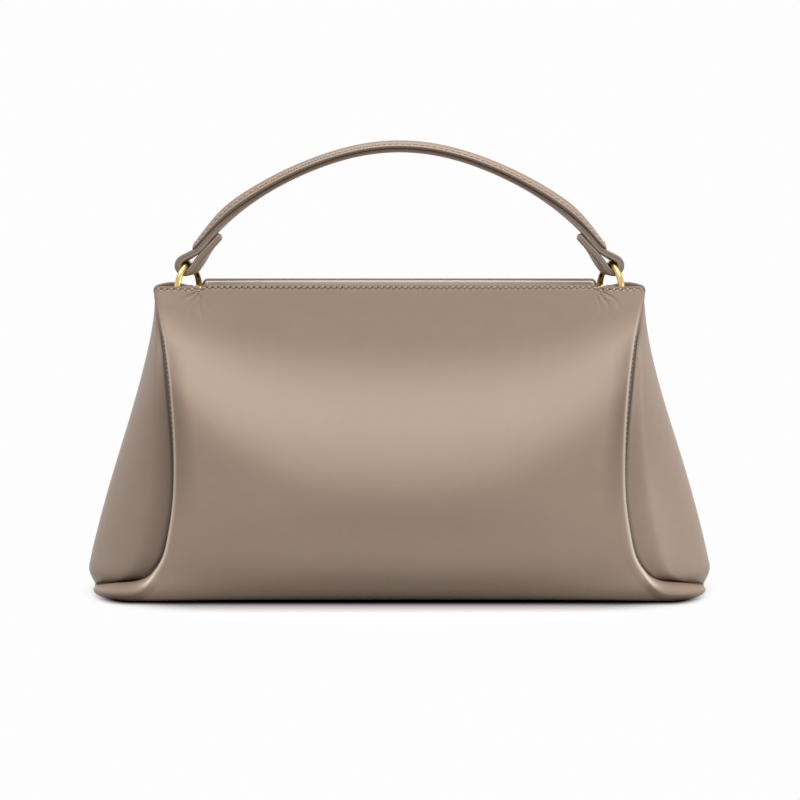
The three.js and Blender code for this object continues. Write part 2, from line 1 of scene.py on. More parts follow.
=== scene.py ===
# %% [markdown]
# # A soft leather handbag, dressed over its CAD frame
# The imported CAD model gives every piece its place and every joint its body. This lesson keeps that frame
# and makes the looks: leather that rolls over its seams, thread, a woven lining and polished rings. All
# sizes are in millimetres, as in the CAD, and become metres only when a mesh is made. The front looks
# towards -Y.

# %% Frame
import math

import bmesh
import bpy
import numpy as np
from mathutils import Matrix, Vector


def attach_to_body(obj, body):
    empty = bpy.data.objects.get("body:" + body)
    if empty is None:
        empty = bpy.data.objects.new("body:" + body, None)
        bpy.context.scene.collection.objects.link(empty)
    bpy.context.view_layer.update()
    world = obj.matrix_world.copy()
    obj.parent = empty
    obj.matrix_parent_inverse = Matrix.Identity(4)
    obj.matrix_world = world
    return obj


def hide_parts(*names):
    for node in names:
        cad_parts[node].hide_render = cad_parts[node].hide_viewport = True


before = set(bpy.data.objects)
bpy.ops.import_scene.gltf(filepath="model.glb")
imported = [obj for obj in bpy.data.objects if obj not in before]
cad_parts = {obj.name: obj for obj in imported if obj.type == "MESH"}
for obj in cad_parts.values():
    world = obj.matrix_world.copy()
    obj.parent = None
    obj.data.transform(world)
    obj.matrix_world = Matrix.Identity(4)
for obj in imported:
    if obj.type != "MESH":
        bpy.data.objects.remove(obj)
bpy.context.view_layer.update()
MM = 0.001

# %% [markdown]
# ## Shader sums
# A leather's colour is a sum of small effects, and node graphs of sums are hard to read. This class wraps a
# socket so that `1 - mask * 0.2` adds the Math nodes by itself. Any other node comes from `Finish.node`,
# which takes the node's type, its settings and the values or links of its sockets.


# %% Shader expressions
def add_node(tree, kind, settings=None, sockets=None):
    """A new node, with its settings and the values or links of its sockets."""
    node = tree.nodes.new(kind)
    for key, value in (settings or {}).items():
        setattr(node, key, value)
    for key, value in (sockets or {}).items():
        if isinstance(value, bpy.types.NodeSocket):
            tree.links.new(value, node.inputs[key])
        else:
            node.inputs[key].default_value = value
    return node


def spaced(sockets):
    return {key.replace("_", " "): value for key, value in sockets.items()}


class Shade:
    """A socket of a finish that can stand in a sum."""

    def __init__(self, finish, socket):
        self.finish = finish
        self.socket = socket

    def maths(self, operation, first, second):
        return self.finish.node("ShaderNodeMath", {"operation": operation}, {0: first, 1: second})

    def __add__(self, other):
        return self.maths("ADD", self, other)

    def __sub__(self, other):
        return self.maths("SUBTRACT", self, other)

    def __rsub__(self, other):
        return self.maths("SUBTRACT", other, self)

    def __mul__(self, other):
        return self.maths("MULTIPLY", self, other)

    __radd__ = __add__
    __rmul__ = __mul__


class Finish:
    """The node tree of a material, or of the world, under construction."""

    def __init__(self, name, holder=bpy.data.materials):
        self.owner = holder.new(name)
        self.owner.use_nodes = True
        self.tree = self.owner.node_tree
        self.tree.nodes.clear()

    def node(self, kind, settings=None, sockets=None, out=0):
        plain = {key: getattr(value, "socket", value) for key, value in (sockets or {}).items()}
        node = add_node(self.tree, kind, settings, plain)
        return Shade(self, node.outputs[out]) if len(node.outputs) else None

    def place(self):
        return self.node("ShaderNodeTexCoord", out="Object")

    def uv(self):
        return self.node("ShaderNodeTexCoord", out="UV")

    def stretched(self, vector, scale):
        return self.node("ShaderNodeMapping", None, {"Vector": vector, "Scale": scale})

    def vector_maths(self, operation, first, second=(0, 0, 0), out=0):
        return self.node("ShaderNodeVectorMath", {"operation": operation}, {0: first, 1: second}, out)

    def length(self, vector):
        return self.vector_maths("LENGTH", vector, out="Value")

    def ramped(self, value, low, high, start=0.0, curve="SMOOTHSTEP"):
        sockets = {0: value, 1: low, 2: high, 3: start}
        return self.node("ShaderNodeMapRange", {"interpolation_type": curve}, sockets)

    def wave(self, vector, direction, scale, distortion=0.0):
        sockets = {"Vector": vector, "Scale": scale, "Distortion": distortion}
        return self.node("ShaderNodeTexWave", {"bands_direction": direction}, sockets)

    def noise(self, vector, scale, detail=3.0, roughness=0.55):
        sockets = {"Vector": vector, "Scale": scale, "Detail": detail, "Roughness": roughness}
        return self.node("ShaderNodeTexNoise", {"normalize": True}, sockets)

    def mix(self, share, first, second):
        settings = {"data_type": "RGBA", "clamp_factor": True}
        return self.node("ShaderNodeMix", settings, {0: share, 6: first, 7: second}, out=2)

    def bump(self, height, depth):
        return self.node("ShaderNodeBump", None, {"Height": height, "Distance": depth, "Strength": 1.0})

    def blend(self, share, first, second):
        return self.node("ShaderNodeMixShader", None, {0: share, 1: first, 2: second})

    def surface(self, **sockets):
        shader = self.node("ShaderNodeBsdfPrincipled", None, spaced(sockets))
        self.node("ShaderNodeOutputMaterial", None, {"Surface": shader})
        print("finish:", self.owner.name, "with", len(self.tree.nodes), "nodes")
        return self.owner


def from_srgb(*levels):
    """Linear colour from the 0 to 255 levels that a screen shows."""
    shares = [level / 255 for level in levels]
    return tuple(s / 12.92 if s <= 0.04045 else ((s + 0.055) / 1.055) ** 2.4 for s in shares) + (1.0,)


# %% [markdown]
# ## Leather
# The body is smooth calf leather with a satin finish. Close up it has a fine pebble of pores, under half a
# millimetre across, with a few hair-fine creases; from a step away only a soft cloudiness is left. Voronoi
# cells make the pores, two noises the clouds, and all of it reads Object coordinates, so the grain keeps
# its real size on every piece. The trim is the same hide, a little darker at its cut and painted edges. A
# float attribute on the meshes paints light and shade into the colour: from -1, painted shade in ditches,
# folds, corners and gaps, to 1, painted light on the rolled edges and towards the strap's loops.

# %% Leather finishes
# Colours of the painted highlight and of the painted shade that the attribute mixes in.
PAINTED_HIGHLIGHT = from_srgb(214, 197, 182)
PAINTED_SHADE = from_srgb(62, 42, 25)
PORE_SCALE, PORE_EDGE = 1900.0, 0.28


def leather(name, light, dark, roughness=0.46, grain=0.05):
    finish = Finish(name)
    place = finish.place()
    clouds = finish.noise(place, 14.0, 4.0)
    mottle = finish.noise(place, 160.0, 3.0)
    cells = {"Vector": place, "Scale": PORE_SCALE}
    pores = finish.node("ShaderNodeTexVoronoi", {"feature": "DISTANCE_TO_EDGE"}, cells)
    pebble = finish.ramped(pores, 0.0, PORE_EDGE, curve="LINEAR")
    creases = finish.noise(finish.stretched(place, (1.0, 1.0, 0.45)), 520.0, 5.0, 0.6)
    shade = clouds * 0.45 + mottle * 0.35 + pebble * 0.2
    # Painted light and shade: the attribute mixes the painted highlight and the painted shade into the
    # colour.
    burnish = finish.node("ShaderNodeAttribute", {"attribute_name": "burnish"}, out="Fac")
    painted_light = finish.mix(burnish, finish.mix(shade, dark, light), PAINTED_HIGHLIGHT)
    colour = finish.mix(0 - burnish, painted_light, PAINTED_SHADE)
    gloss = roughness + 0.1 * (mottle - 0.5) + 0.05 * (1 - pebble)
    height = pebble * 0.55 + creases * 0.45
    normal = finish.bump(height, grain * MM)
    return finish.surface(
        Base_Color=colour, Roughness=gloss, Normal=normal, IOR=1.46, Coat_Weight=0.12, Coat_Roughness=0.3
    )


BODY_LIGHT = from_srgb(165, 143, 126)
BODY_DARK = from_srgb(150, 127, 110)
TRIM_LIGHT = from_srgb(164, 143, 126)
TRIM_DARK = from_srgb(150, 128, 111)
# Painted light: the facing's colours are far paler than the trim's, for the top light on the rear band.
FACING_LIGHT = from_srgb(236, 223, 209)
FACING_DARK = from_srgb(224, 209, 194)
EDGE_LIGHT = from_srgb(118, 100, 86)
EDGE_DARK = from_srgb(104, 87, 74)
body_leather = leather("body_leather", BODY_LIGHT, BODY_DARK)
trim_leather = leather("trim_leather", TRIM_LIGHT, TRIM_DARK, 0.48, 0.02)
painted_edge = leather("painted_edge", EDGE_LIGHT, EDGE_DARK, 0.42, 0.02)
facing_painted_light = leather("facing_painted_light", FACING_LIGHT, FACING_DARK, 0.46, 0.02)

# %% [markdown]
# ## Thread, lining, brass and steel
# The thread is waxed polyester: two plies twist along each stitch. The lining is a fine twill, drawn on the
# sheets' own UV maps in real millimetres so that its ribs follow the cloth. The rings are polished brass
# with the faint haze that handling leaves, the snap is brushed steel and the base board is pressed fibre.


# %% Thread and cloth
def thread(name, light, dark):
    finish = Finish(name)
    place = finish.place()
    plies = finish.wave(place, "DIAGONAL", 900.0, 0.4)
    dust = finish.noise(place, 700.0)
    colour = finish.mix(plies * 0.6 + dust * 0.4, dark, light)
    normal = finish.bump(plies, 0.06 * MM)
    return finish.surface(Base_Color=colour, Roughness=0.5 + 0.15 * dust, Normal=normal)


def twill(name, light, dark, pitch=0.55):
    finish = Finish(name)
    place = finish.uv()
    ribs = finish.stretched(place, (1000 / pitch, 1000 / pitch, 1.0))
    diagonal = finish.wave(ribs, "DIAGONAL", 0.22)
    picks = finish.wave(ribs, "X", 0.32)
    slubs = finish.noise(finish.stretched(place, (60.0, 900.0, 1.0)), 1.0, 4.0)
    weave = diagonal * 0.6 + picks * 0.4
    colour = finish.mix(weave * 0.55 + slubs * 0.45, dark, light)
    normal = finish.bump(weave, 0.12 * MM)
    return finish.surface(Base_Color=colour, Roughness=0.78 + 0.12 * slubs, Normal=normal)


def metal(name, light, dark, roughness, brushed=0.0):
    finish = Finish(name)
    place = finish.place()
    haze = finish.noise(place, 260.0, 5.0)
    streaks = finish.noise(finish.stretched(place, (300.0, 300.0, 4200.0)), 1.0, 3.0)
    colour = finish.mix(haze, dark, light)
    gloss = roughness + 0.06 * haze + brushed * streaks
    normal = finish.bump(streaks * 0.5 + haze * 0.5, 0.002 * MM)
    return finish.surface(Base_Color=colour, Roughness=gloss, Metallic=1.0, Normal=normal)


def fibre(name, light, dark):
    finish = Finish(name)
    place = finish.place()
    flecks = finish.noise(finish.stretched(place, (300.0, 1200.0, 300.0)), 1.0, 4.0)
    clouds = finish.noise(place, 60.0)
    colour = finish.mix(flecks * 0.7 + clouds * 0.3, dark, light)
    normal = finish.bump(flecks, 0.05 * MM)
    return finish.surface(Base_Color=colour, Roughness=0.8 + 0.1 * flecks, Normal=normal)


seam_thread = thread("seam_thread", from_srgb(206, 188, 170), from_srgb(172, 152, 134))
# This dark thread makes the seam marks in the ditches; its beads between the stitches are painted shade for
# the needle holes.
dark_thread_and_hole_shade = thread("dark_thread_and_hole_shade", from_srgb(84, 68, 55), from_srgb(52, 41, 33))
lining_cloth = twill("lining_cloth", from_srgb(150, 136, 120), from_srgb(112, 99, 85))
ring_brass = metal("ring_brass", from_srgb(226, 196, 128), from_srgb(198, 163, 92), 0.14)
snap_metal = metal("snap_metal", from_srgb(205, 200, 190), from_srgb(168, 163, 154), 0.24, 0.12)
board_fibre = fibre("board_fibre", from_srgb(118, 104, 92), from_srgb(92, 80, 70))

# %% [markdown]
# ## The bag's lines
# A pattern cutter would describe this bag by four lines that run from the rim down under the base: the
# middle of the panel, the proud roll beside the seam, the seam itself and the middle of the gusset. Nine
# stations fix them, with sizes close to the CAD's. Rows count the stations: 0 is the rim, 0.5 and 1 the
# collar and the shoulder, 2 and 3 the hip and the belly, 4 and 5 the turn into the base, and 7 the seam
# under it. A Catmull-Rom line through the stations turns a little suddenly at each of them, and satin
# leather would show that as a band in the highlight, so each line is softened with a Gaussian before the
# skin is laid over it. The bag swells out high at its sides and low in its middle; the lines of the sides
# are paced so that all of them swell within the same rows, and the swell runs across as one U.

# %% Sizes of the body
BODY_HEIGHT = 175
MOUTH_LENGTH = 277
MOUTH_GAP = 38
MOUTH_END_GAP = 33
END_RIM_DROP = 1.2
RIM_CORNER_DROP = 3
COLLAR_HEIGHT, COLLAR_DEPTH = 152, 44
COLLAR_SEAM, COLLAR_SEAM_DEPTH = 272, 46
SHOULDER_HEIGHT, SHOULDER_DEPTH = 130, 53
SHOULDER_SEAM, SHOULDER_SEAM_DEPTH = 265, 88
HIP_HEIGHT, HIP_DEPTH = 68.5, 128
WAIST_HEIGHT, WAIST_SEAM, WAIST_SEAM_DEPTH = 66, 255, 101
BELLY_HEIGHT, BELLY_DEPTH = 38, 132
BASE_LENGTH = 342
BASE_DEPTH = 108
GUSSET_BULGE = 4.5
RIM_ROLL, RIM_PROUD = 4.5, 1.5
SHOULDER_PROUD, SHOULDER_FLARE, SHOULDER_SAG = 3, 7.2, 8
SIDE_ROLL, SIDE_PROUD, BELLY_PROUD = 6.5, 7, 7.5
GUSSET_DRAW = 13.5
SEAM_FLARE, SEAM_SWELL, TURN_IN = 2.8, 2.5, 1.5
LIP_LENGTH, LIP_PROUD, LIP_HEIGHT = 25, 7, 11
FACING_LENGTH = 223
SEAM_GAP = 0.5
END_DRAWN_IN = 1.0


# %% Stations and softened lines
def body_stations():
    mouth_x, collar_x, shoulder_x = MOUTH_LENGTH / 2, COLLAR_SEAM / 2, SHOULDER_SEAM / 2
    waist_x, belly_x = WAIST_SEAM / 2, WAIST_SEAM / 2 + SEAM_FLARE
    base_x, gusset_x = BASE_LENGTH / 2, BASE_LENGTH / 2 + GUSSET_BULGE
    mouth_y, collar_y, shoulder_y = -MOUTH_END_GAP / 2, -COLLAR_SEAM_DEPTH / 2, -SHOULDER_SEAM_DEPTH / 2
    seam_y, belly_y, base_y = -WAIST_SEAM_DEPTH / 2, -BELLY_DEPTH / 2, -BASE_DEPTH / 2
    shoulder_z, belly_z = SHOULDER_HEIGHT - SHOULDER_SAG, BELLY_HEIGHT * 1.03
    centre = [
        (0, -MOUTH_GAP / 2, BODY_HEIGHT), (0, -COLLAR_DEPTH / 2, COLLAR_HEIGHT),
        (0, -SHOULDER_DEPTH / 2, SHOULDER_HEIGHT), (0, -HIP_DEPTH / 2, HIP_HEIGHT),
        (0, belly_y, BELLY_HEIGHT), (0, belly_y + TURN_IN, BELLY_HEIGHT * 0.37), (0, base_y, 0),
        (0, base_y * 0.52, 0), (0, -SEAM_GAP / 2, 0),
    ]
    roll = [
        (mouth_x - RIM_ROLL, mouth_y - RIM_PROUD, BODY_HEIGHT),
        (collar_x - RIM_ROLL, collar_y - RIM_PROUD, COLLAR_HEIGHT),
        (shoulder_x - SIDE_ROLL, shoulder_y - SHOULDER_PROUD, shoulder_z),
        (waist_x - SIDE_ROLL, seam_y - SIDE_PROUD, WAIST_HEIGHT),
        (belly_x - SIDE_ROLL, seam_y - SEAM_SWELL - BELLY_PROUD, belly_z),
        (waist_x + SEAM_FLARE * 1.25, belly_y + TURN_IN * 3, BELLY_HEIGHT * 0.42),
        (base_x - LIP_LENGTH, base_y - LIP_PROUD, LIP_HEIGHT * 0.09),
        (base_x - LIP_LENGTH * 0.27, base_y * 0.84, 0), (base_x - LIP_LENGTH * 0.24, -SEAM_GAP * 2.2, 0),
    ]
    seam = [
        (mouth_x, mouth_y, BODY_HEIGHT - RIM_CORNER_DROP),
        (collar_x, collar_y, COLLAR_HEIGHT - RIM_CORNER_DROP), (shoulder_x, shoulder_y, shoulder_z),
        (waist_x, seam_y, WAIST_HEIGHT), (belly_x, seam_y - SEAM_SWELL, belly_z),
        (waist_x + SEAM_FLARE * 3, seam_y - SEAM_SWELL * 0.92, BELLY_HEIGHT * 0.55),
        (base_x - LIP_LENGTH * 1.02, seam_y + SEAM_GAP, LIP_HEIGHT),
        (base_x - LIP_LENGTH * 0.5, seam_y * 0.65, LIP_HEIGHT * 0.62),
        (base_x, -SEAM_GAP * 2.4, LIP_HEIGHT * 0.25),
    ]
    end = [
        (mouth_x - END_DRAWN_IN, 0, BODY_HEIGHT),
        (mouth_x - END_DRAWN_IN + SHOULDER_FLARE * 0.28, 0, COLLAR_HEIGHT),
        (mouth_x + SHOULDER_FLARE, 0, shoulder_z), (gusset_x - GUSSET_DRAW, 0, WAIST_HEIGHT),
        (gusset_x - GUSSET_BULGE * 1.33, 0, belly_z),
        (gusset_x - GUSSET_BULGE * 0.29, 0, BELLY_HEIGHT * 0.53), (gusset_x, 0, LIP_HEIGHT * 1.09),
        (gusset_x - GUSSET_BULGE * 0.38, 0, LIP_HEIGHT * 0.655),
        (base_x + GUSSET_BULGE * 0.16, 0, LIP_HEIGHT * 0.27),
    ]
    return {"centre": centre, "roll": roll, "seam": seam, "end": end}


def through(points, places):
    """Points of a centripetal Catmull-Rom line; place 1.5 is half-way between the second and third."""
    points = np.asarray(points, float)
    padded = np.vstack([2 * points[0] - points[1], points, 2 * points[-1] - points[-2]])
    first = np.clip(np.floor(places).astype(int), 0, len(points) - 2)
    share = (places - first)[:, None]
    a, b, c, d = (padded[first + k] for k in range(4))
    gap = [np.sqrt(np.linalg.norm(q - p, axis=1))[:, None] for p, q in ((a, b), (b, c), (c, d))]
    leave = ((b - a) / gap[0] - (c - a) / (gap[0] + gap[1]) + (c - b) / gap[1]) * gap[1]
    arrive = ((c - b) / gap[1] - (d - b) / (gap[1] + gap[2]) + (d - c) / gap[2]) * gap[1]
    square = -3 * b + 3 * c - 2 * leave - arrive
    cube = 2 * b - 2 * c + leave + arrive
    return b + share * (leave + share * (square + share * cube))


def softened(line, width):
    """A line run through a Gaussian of that many steps, with both ends held."""
    reach = int(width * 4)
    weights = np.exp(-0.5 * (np.arange(-reach, reach + 1) / width) ** 2)
    weights /= weights.sum()
    before = 2 * line[0] - line[reach:0:-1]
    after = 2 * line[-1] - line[-2 : -reach - 2 : -1]
    longer = np.vstack([before, line, after])
    return np.stack([np.convolve(longer[:, k], weights, "valid") for k in range(3)], axis=1)


def read_off(places, run, line):
    """A line's points at given places of its run."""
    return np.stack([np.interp(places, run, line[:, k]) for k in range(line.shape[1])], axis=1)


STATION_ROWS = [0, 0.5, 1, 2, 3, 4, 5, 6, 7]
LAST_ROW = STATION_ROWS[-1]
DENSE = np.linspace(0, LAST_ROW, 1401)
SOFTNESS = 27
LINES = {}
for part, stations in body_stations().items():
    route = through(stations, np.interp(DENSE, STATION_ROWS, range(len(STATION_ROWS))))
    route[:, 2] = np.maximum(route[:, 2], 0)
    LINES[part] = softened(route, SOFTNESS)


def on_line(part, rows):
    return read_off(rows, DENSE, LINES[part])


SIDE_PACE = (0, 0.5, 1, 3, 4, 5, 6, 7)
side_rows = through([(row, 0, 0) for row in SIDE_PACE], DENSE)[:, 0]
for part in ("roll", "seam", "end"):
    LINES[part] = on_line(part, side_rows)

print("lines:", ", ".join(LINES), "over", len(DENSE), "steps")

# %% [markdown]
# ## From lines to skins
# Across each row the panel is a shallow curve from its middle to the roll, then a rounded edge that dives
# into the ditch beside the gusset and hides a short hem there. Across, 0 is the middle, 2 the roll and 3
# the seam. Because every row uses the same rule, the skin is one smooth sheet, like the hide that the real
# panel is cut from. Small helpers make a grid of points, its normals, and at the end a mesh with a UV map
# in metres.


# %% Grid helpers
def smooth(value, low, high):
    share = np.clip((value - low) / (high - low), 0, 1)
    return share * share * (3 - 2 * share)


def bell(value, width):
    return np.exp(-((value / width) ** 2))


def between(first, second, share):
    return first + (second - first) * share


def full_turn(count):
    """Angles of evenly spaced points round a circle."""
    return np.linspace(0, 2 * math.pi, count + 1)[:-1]


def unit(vectors):
    return vectors / np.maximum(np.linalg.norm(vectors, axis=-1, keepdims=True), 1e-9)


def grid_normals(grid):
    return unit(np.cross(np.gradient(grid, axis=0), np.gradient(grid, axis=1)))


def run_along(line):
    """Length run along a line of points, from zero."""
    return np.concatenate([[0], np.cumsum(np.linalg.norm(np.diff(line, axis=0), axis=1))])


def travelled(grid, axis):
    """Length run along a grid's rows or columns, averaged over the other direction, from zero."""
    steps = np.linalg.norm(np.diff(grid, axis=axis), axis=-1).mean(axis=1 - axis)
    return np.concatenate([[0], np.cumsum(steps)])


def add_burnish(mesh, burnish):
    if burnish is not None:
        mesh.attributes.new("burnish", "FLOAT", "POINT").data.foreach_set("value", np.ravel(burnish))


def sheet_mesh(name, grid, round_columns=False, round_rows=False, burnish=None):
    rows, columns = grid.shape[:2]
    index = np.arange(rows * columns).reshape(rows, columns)
    if round_columns:
        index = np.concatenate([index, index[:, :1]], axis=1)
    if round_rows:
        index = np.concatenate([index, index[:1]], axis=0)
    corners = [index[:-1, :-1], index[1:, :-1], index[1:, 1:], index[:-1, 1:]]
    faces = np.stack(corners, axis=-1).reshape(-1, 4)
    mesh = bpy.data.meshes.new(name)
    mesh.from_pydata((grid.reshape(-1, 3) * MM).tolist(), [], faces.tolist())
    down, along = np.meshgrid(travelled(grid, 0), travelled(grid, 1), indexing="ij")
    flat = np.stack([along, down], axis=-1).reshape(-1, 2) * MM
    layer = mesh.uv_layers.new(name="cloth")
    layer.data.foreach_set("uv", flat[faces.reshape(-1)].reshape(-1))
    add_burnish(mesh, burnish)
    mesh.shade_smooth()
    return mesh


def linked(name, mesh, material):
    mesh.materials.clear()
    mesh.materials.append(material)
    thing = bpy.data.objects.new(name, mesh)
    bpy.context.scene.collection.objects.link(thing)
    return thing


def laid(name, grid, material, **options):
    return linked(name, sheet_mesh(name, grid, **options), material)


def settled_mesh(thing):
    """Turns an object's modifiers into plain mesh."""
    evaluated = thing.evaluated_get(bpy.context.evaluated_depsgraph_get())
    mesh = bpy.data.meshes.new_from_object(evaluated)
    thing.modifiers.clear()
    thing.data = mesh
    return thing


def thickened(thing, thickness):
    wall = thing.modifiers.new("wall", "SOLIDIFY")
    wall.thickness = thickness * MM
    wall.offset = -1
    return settled_mesh(thing)


def attach(thing, body, slot, *replaced):
    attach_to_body(thing, body)
    if replaced:
        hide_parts(*replaced)
    print("piece:", thing.name, len(thing.data.polygons), "faces on", body)


# %% Panel and gusset skins
EDGE_CRISP = 0.9
EDGE_TUCK, TUCK_WAY = 2.5, (-0.07, -0.55, 0)
EDGE_HEM = 2.2
LIP_TURN_UP = 14
LIP_FULLNESS, LIP_POINT = 10.0, 0.2
LIP_LOW, LIP_HIGH = (0.7, 0.2), (1.3, 1.0)
PANEL_BEND = 2.7
GUSSET_FULLNESS = 2.2
GUSSET_TUCK = 1.2
RIM_RADIUS = 1.1
FACING_END = FACING_LENGTH / 2


def tuck_way(rows):
    """Where a panel's edge dives under its seam: into the bag, and upwards behind the lips of the base."""
    way = on_line("seam", rows) * TUCK_WAY
    way[:, 2] += LIP_TURN_UP * smooth(rows, 4.4, 6)
    return unit(way)


def tuck_depth(rows):
    return EDGE_TUCK * smooth(rows, 0.3, 1.5)


def low_edge(rows):
    """The corner of the panel's edge low down: straight before the seam."""
    edge, seam = on_line("roll", rows), on_line("seam", rows)
    edge[:, 0] = np.maximum(edge[:, 0], seam[:, 0])
    edge[:, 2] = seam[:, 2]
    return edge[:, None, :]


def lip_controls(rows):
    """Two points that round a lip: out from the line where it rests, low and at the seam's height."""
    roll, seam = on_line("roll", rows), on_line("seam", rows)
    turn = smooth(rows, 4.8, LAST_ROW) * math.pi / 2
    reach = LIP_FULLNESS * (1 - LIP_POINT * smooth(rows, 6, LAST_ROW))
    out = np.stack([np.sin(turn) * reach, -np.cos(turn) * reach, np.zeros_like(turn)], axis=1)
    rise = np.maximum(seam - roll, 0) * (0, 0, 1)
    return [(roll + out * wide + rise * high)[:, None, :] for wide, high in (LIP_LOW, LIP_HIGH)]


def panel_skin(rows, across):
    centre, roll, seam = (on_line(part, rows)[:, None, :] for part in ("centre", "roll", "seam"))
    tuck = tuck_way(rows)[:, None, :]
    seam = seam + tuck * tuck_depth(rows)[:, None, None]
    reach = np.abs(across)[None, :, None]
    share = np.minimum(reach / 2, 1)
    bent = share**PANEL_BEND
    main = between(centre, roll, np.concatenate([share, bent, bent], axis=-1))
    slope = unit((roll - centre) * (1, PANEL_BEND, PANEL_BEND))
    corner = roll + slope * np.maximum(((seam - roll) * slope).sum(-1, keepdims=True), 0.1)
    corner = between(corner, low_edge(rows), smooth(rows, 3, 4)[:, None, None])
    lip = smooth(rows, 4.2, 5.2)[:, None, None]
    lip_low, lip_high = lip_controls(rows)
    first = between(between(roll, corner, EDGE_CRISP), lip_low, lip)
    second = between(between(seam, corner, EDGE_CRISP), lip_high, lip)
    t = np.clip(reach - 2, 0, 1)
    edge = roll * (1 - t) ** 3 + 3 * first * t * (1 - t) ** 2 + 3 * second * t**2 * (1 - t) + seam * t**3
    hem = seam + tuck * EDGE_HEM * np.clip(reach - 3, 0, 1)
    skin = np.where(reach <= 2, main, np.where(reach <= 3, edge, hem))
    skin[..., 0] *= np.where(across < 0, -1, 1)
    return skin


def gusset_skin(rows, across):
    """The right gusset, from the front seam at -1 to the rear one at +1."""
    seam, end = (on_line(part, rows)[:, None, :] for part in ("seam", "end"))
    share = across[None, :, None]
    skin = between(end, seam, np.abs(share) ** GUSSET_FULLNESS)
    skin[..., 1] = -seam[..., 1] * across
    depth = (tuck_depth(rows)[:, None] + GUSSET_TUCK) * smooth(np.abs(across), 0.8, 1)[None, :]
    tuck = tuck_way(rows)[:, None, :] * depth[..., None]
    tuck[..., 1] *= -np.sign(across)
    return skin + tuck


# %% Rim and base
REAR_SAG = 3.6
REAR_HUMP, HUMP_X, HUMP_REACH = 2.8, 128.5, 9.5
GUSSET_DIP = 3.0
NEAR_RIM = 0.45
NOTCH_DROP, NOTCH_ASIDE, NOTCH_WIDTH, NOTCH_ROWS = 1.5, 0.6, 1.4, 0.14
RIM_BLEND = 2.5
FOLD_STEPS = 8


def settled(skin, rows, end_drop=END_RIM_DROP):
    """Lowers the rim's ends past the facings, with a notch at the step, and sets the base on the ground."""
    past = np.abs(skin[..., 0]) - FACING_END
    near_rim = np.clip(1 - rows / NEAR_RIM, 0, 1)[:, None]
    near_notch = np.clip(1 - rows / NOTCH_ROWS, 0, 1)[:, None] ** 2
    skin[..., 2] -= (RIM_RADIUS + end_drop * smooth(past, -RIM_BLEND, RIM_BLEND)) * near_rim
    skin[..., 2] -= NOTCH_DROP * bell(past - NOTCH_ASIDE, NOTCH_WIDTH) * near_notch
    skin[..., 2] = np.maximum(skin[..., 2], 0)
    return skin


def rear_drop(x):
    """The rear rim's ends sag more than the front's, but stand up a little beside the rings."""
    return END_RIM_DROP + REAR_SAG - REAR_HUMP * bell(np.abs(x) - HUMP_X, HUMP_REACH)


def with_fold(grid, radius, hem_rows, plain=None):
    """Adds a rounded fold over the first row, and a hem behind it that follows the plain grid, if given."""
    plain = grid if plain is None else plain
    behind = plain - grid_normals(plain) * 2 * radius
    top, out = grid[0], grid_normals(grid)[0]
    up = unit(grid[0] - grid[1])
    turns = np.linspace(0, math.pi, FOLD_STEPS + 1)[1:]
    fold = [top + out * radius * (math.cos(turn) - 1) + up * radius * math.sin(turn) for turn in turns]
    return np.stack([*behind[hem_rows][::-1], *fold[::-1], *grid])


# %% [markdown]
# ## Front and rear panels
# Each panel is one hide from the rim to the middle of the base. Three things keep it from looking like
# plastic: slow waves under a millimetre high, where the hide was stretched over the board; a stitch line
# that pulls the rim in; and the small fan of creases below each notch, where the stiff facing ends and the
# soft rim goes on. A cloth simulation could sag the skin, but this leather is firm and its folds are few,
# so the same moves are made on the grid, where they stay where the photograph shows them.

# %% Soft unevenness
WAVE_COUNT, WAVE_LENGTHS = 6, (55, 130)
FAN_OPENS, FAN_CLOSES = (-0.55, -0.1), (0.85, 1.25)
CREASE_STARTS, CREASE_REACH = (1.0, 4.5), 12
CREASE_RATE, CREASE_SWAY, SWAY_RATE = 7.2, 0.5, 0.45


def soft_waves(points, seed):
    draw = np.random.default_rng(seed)
    total = np.zeros(points.shape[:-1])
    for _ in range(WAVE_COUNT):
        way = unit(draw.normal(size=3) * (1, 0.4, 1))
        rate = 2 * math.pi / draw.uniform(*WAVE_LENGTHS)
        total += np.sin(points @ way * rate + draw.uniform(0, 2 * math.pi))
    return total / WAVE_COUNT


def puckers(points):
    """A fan of sharp creases below each notch of the rim, from 0 to -1."""
    past = np.abs(points[..., 0]) - FACING_END - NOTCH_ASIDE
    fall = BODY_HEIGHT - END_RIM_DROP - points[..., 2]
    reach = np.hypot(past, fall)
    angle = np.arctan2(past, fall)
    fan = smooth(angle, *FAN_OPENS) * (1 - smooth(angle, *FAN_CLOSES))
    fade = smooth(reach, *CREASE_STARTS) * bell(reach, CREASE_REACH)
    ridge = np.abs(np.sin(angle * CREASE_RATE + CREASE_SWAY * np.sin(reach * SWAY_RATE)))
    return -((1 - ridge) ** 2) * fan * fade


# %% Panel grids
WAVE_HEIGHT = 0.45
PUCKER_DEPTH = 1.1
GROOVE_DEPTH, GROOVE_WIDTH = 0.3, 0.7
STITCH_DROP = 0.6
SKIN = 0.9
# Painted light on the panels: a highlight along the rolled edge, and painted shade in the ditch, beside the
# upper seams, on the lips and on the rim's fold.
EDGE_HIGHLIGHT, EDGE_PAINTED_SHADE, LIP_PAINTED_SHADE = 1.0, 0.4, 0.36
HIGHLIGHT_WIDTH = 0.13
FOLD_PAINTED_SHADE = 0.5
HALF_TURN = (-1, -1, 1)
HEM_ROWS = np.arange(0, 30, 4)

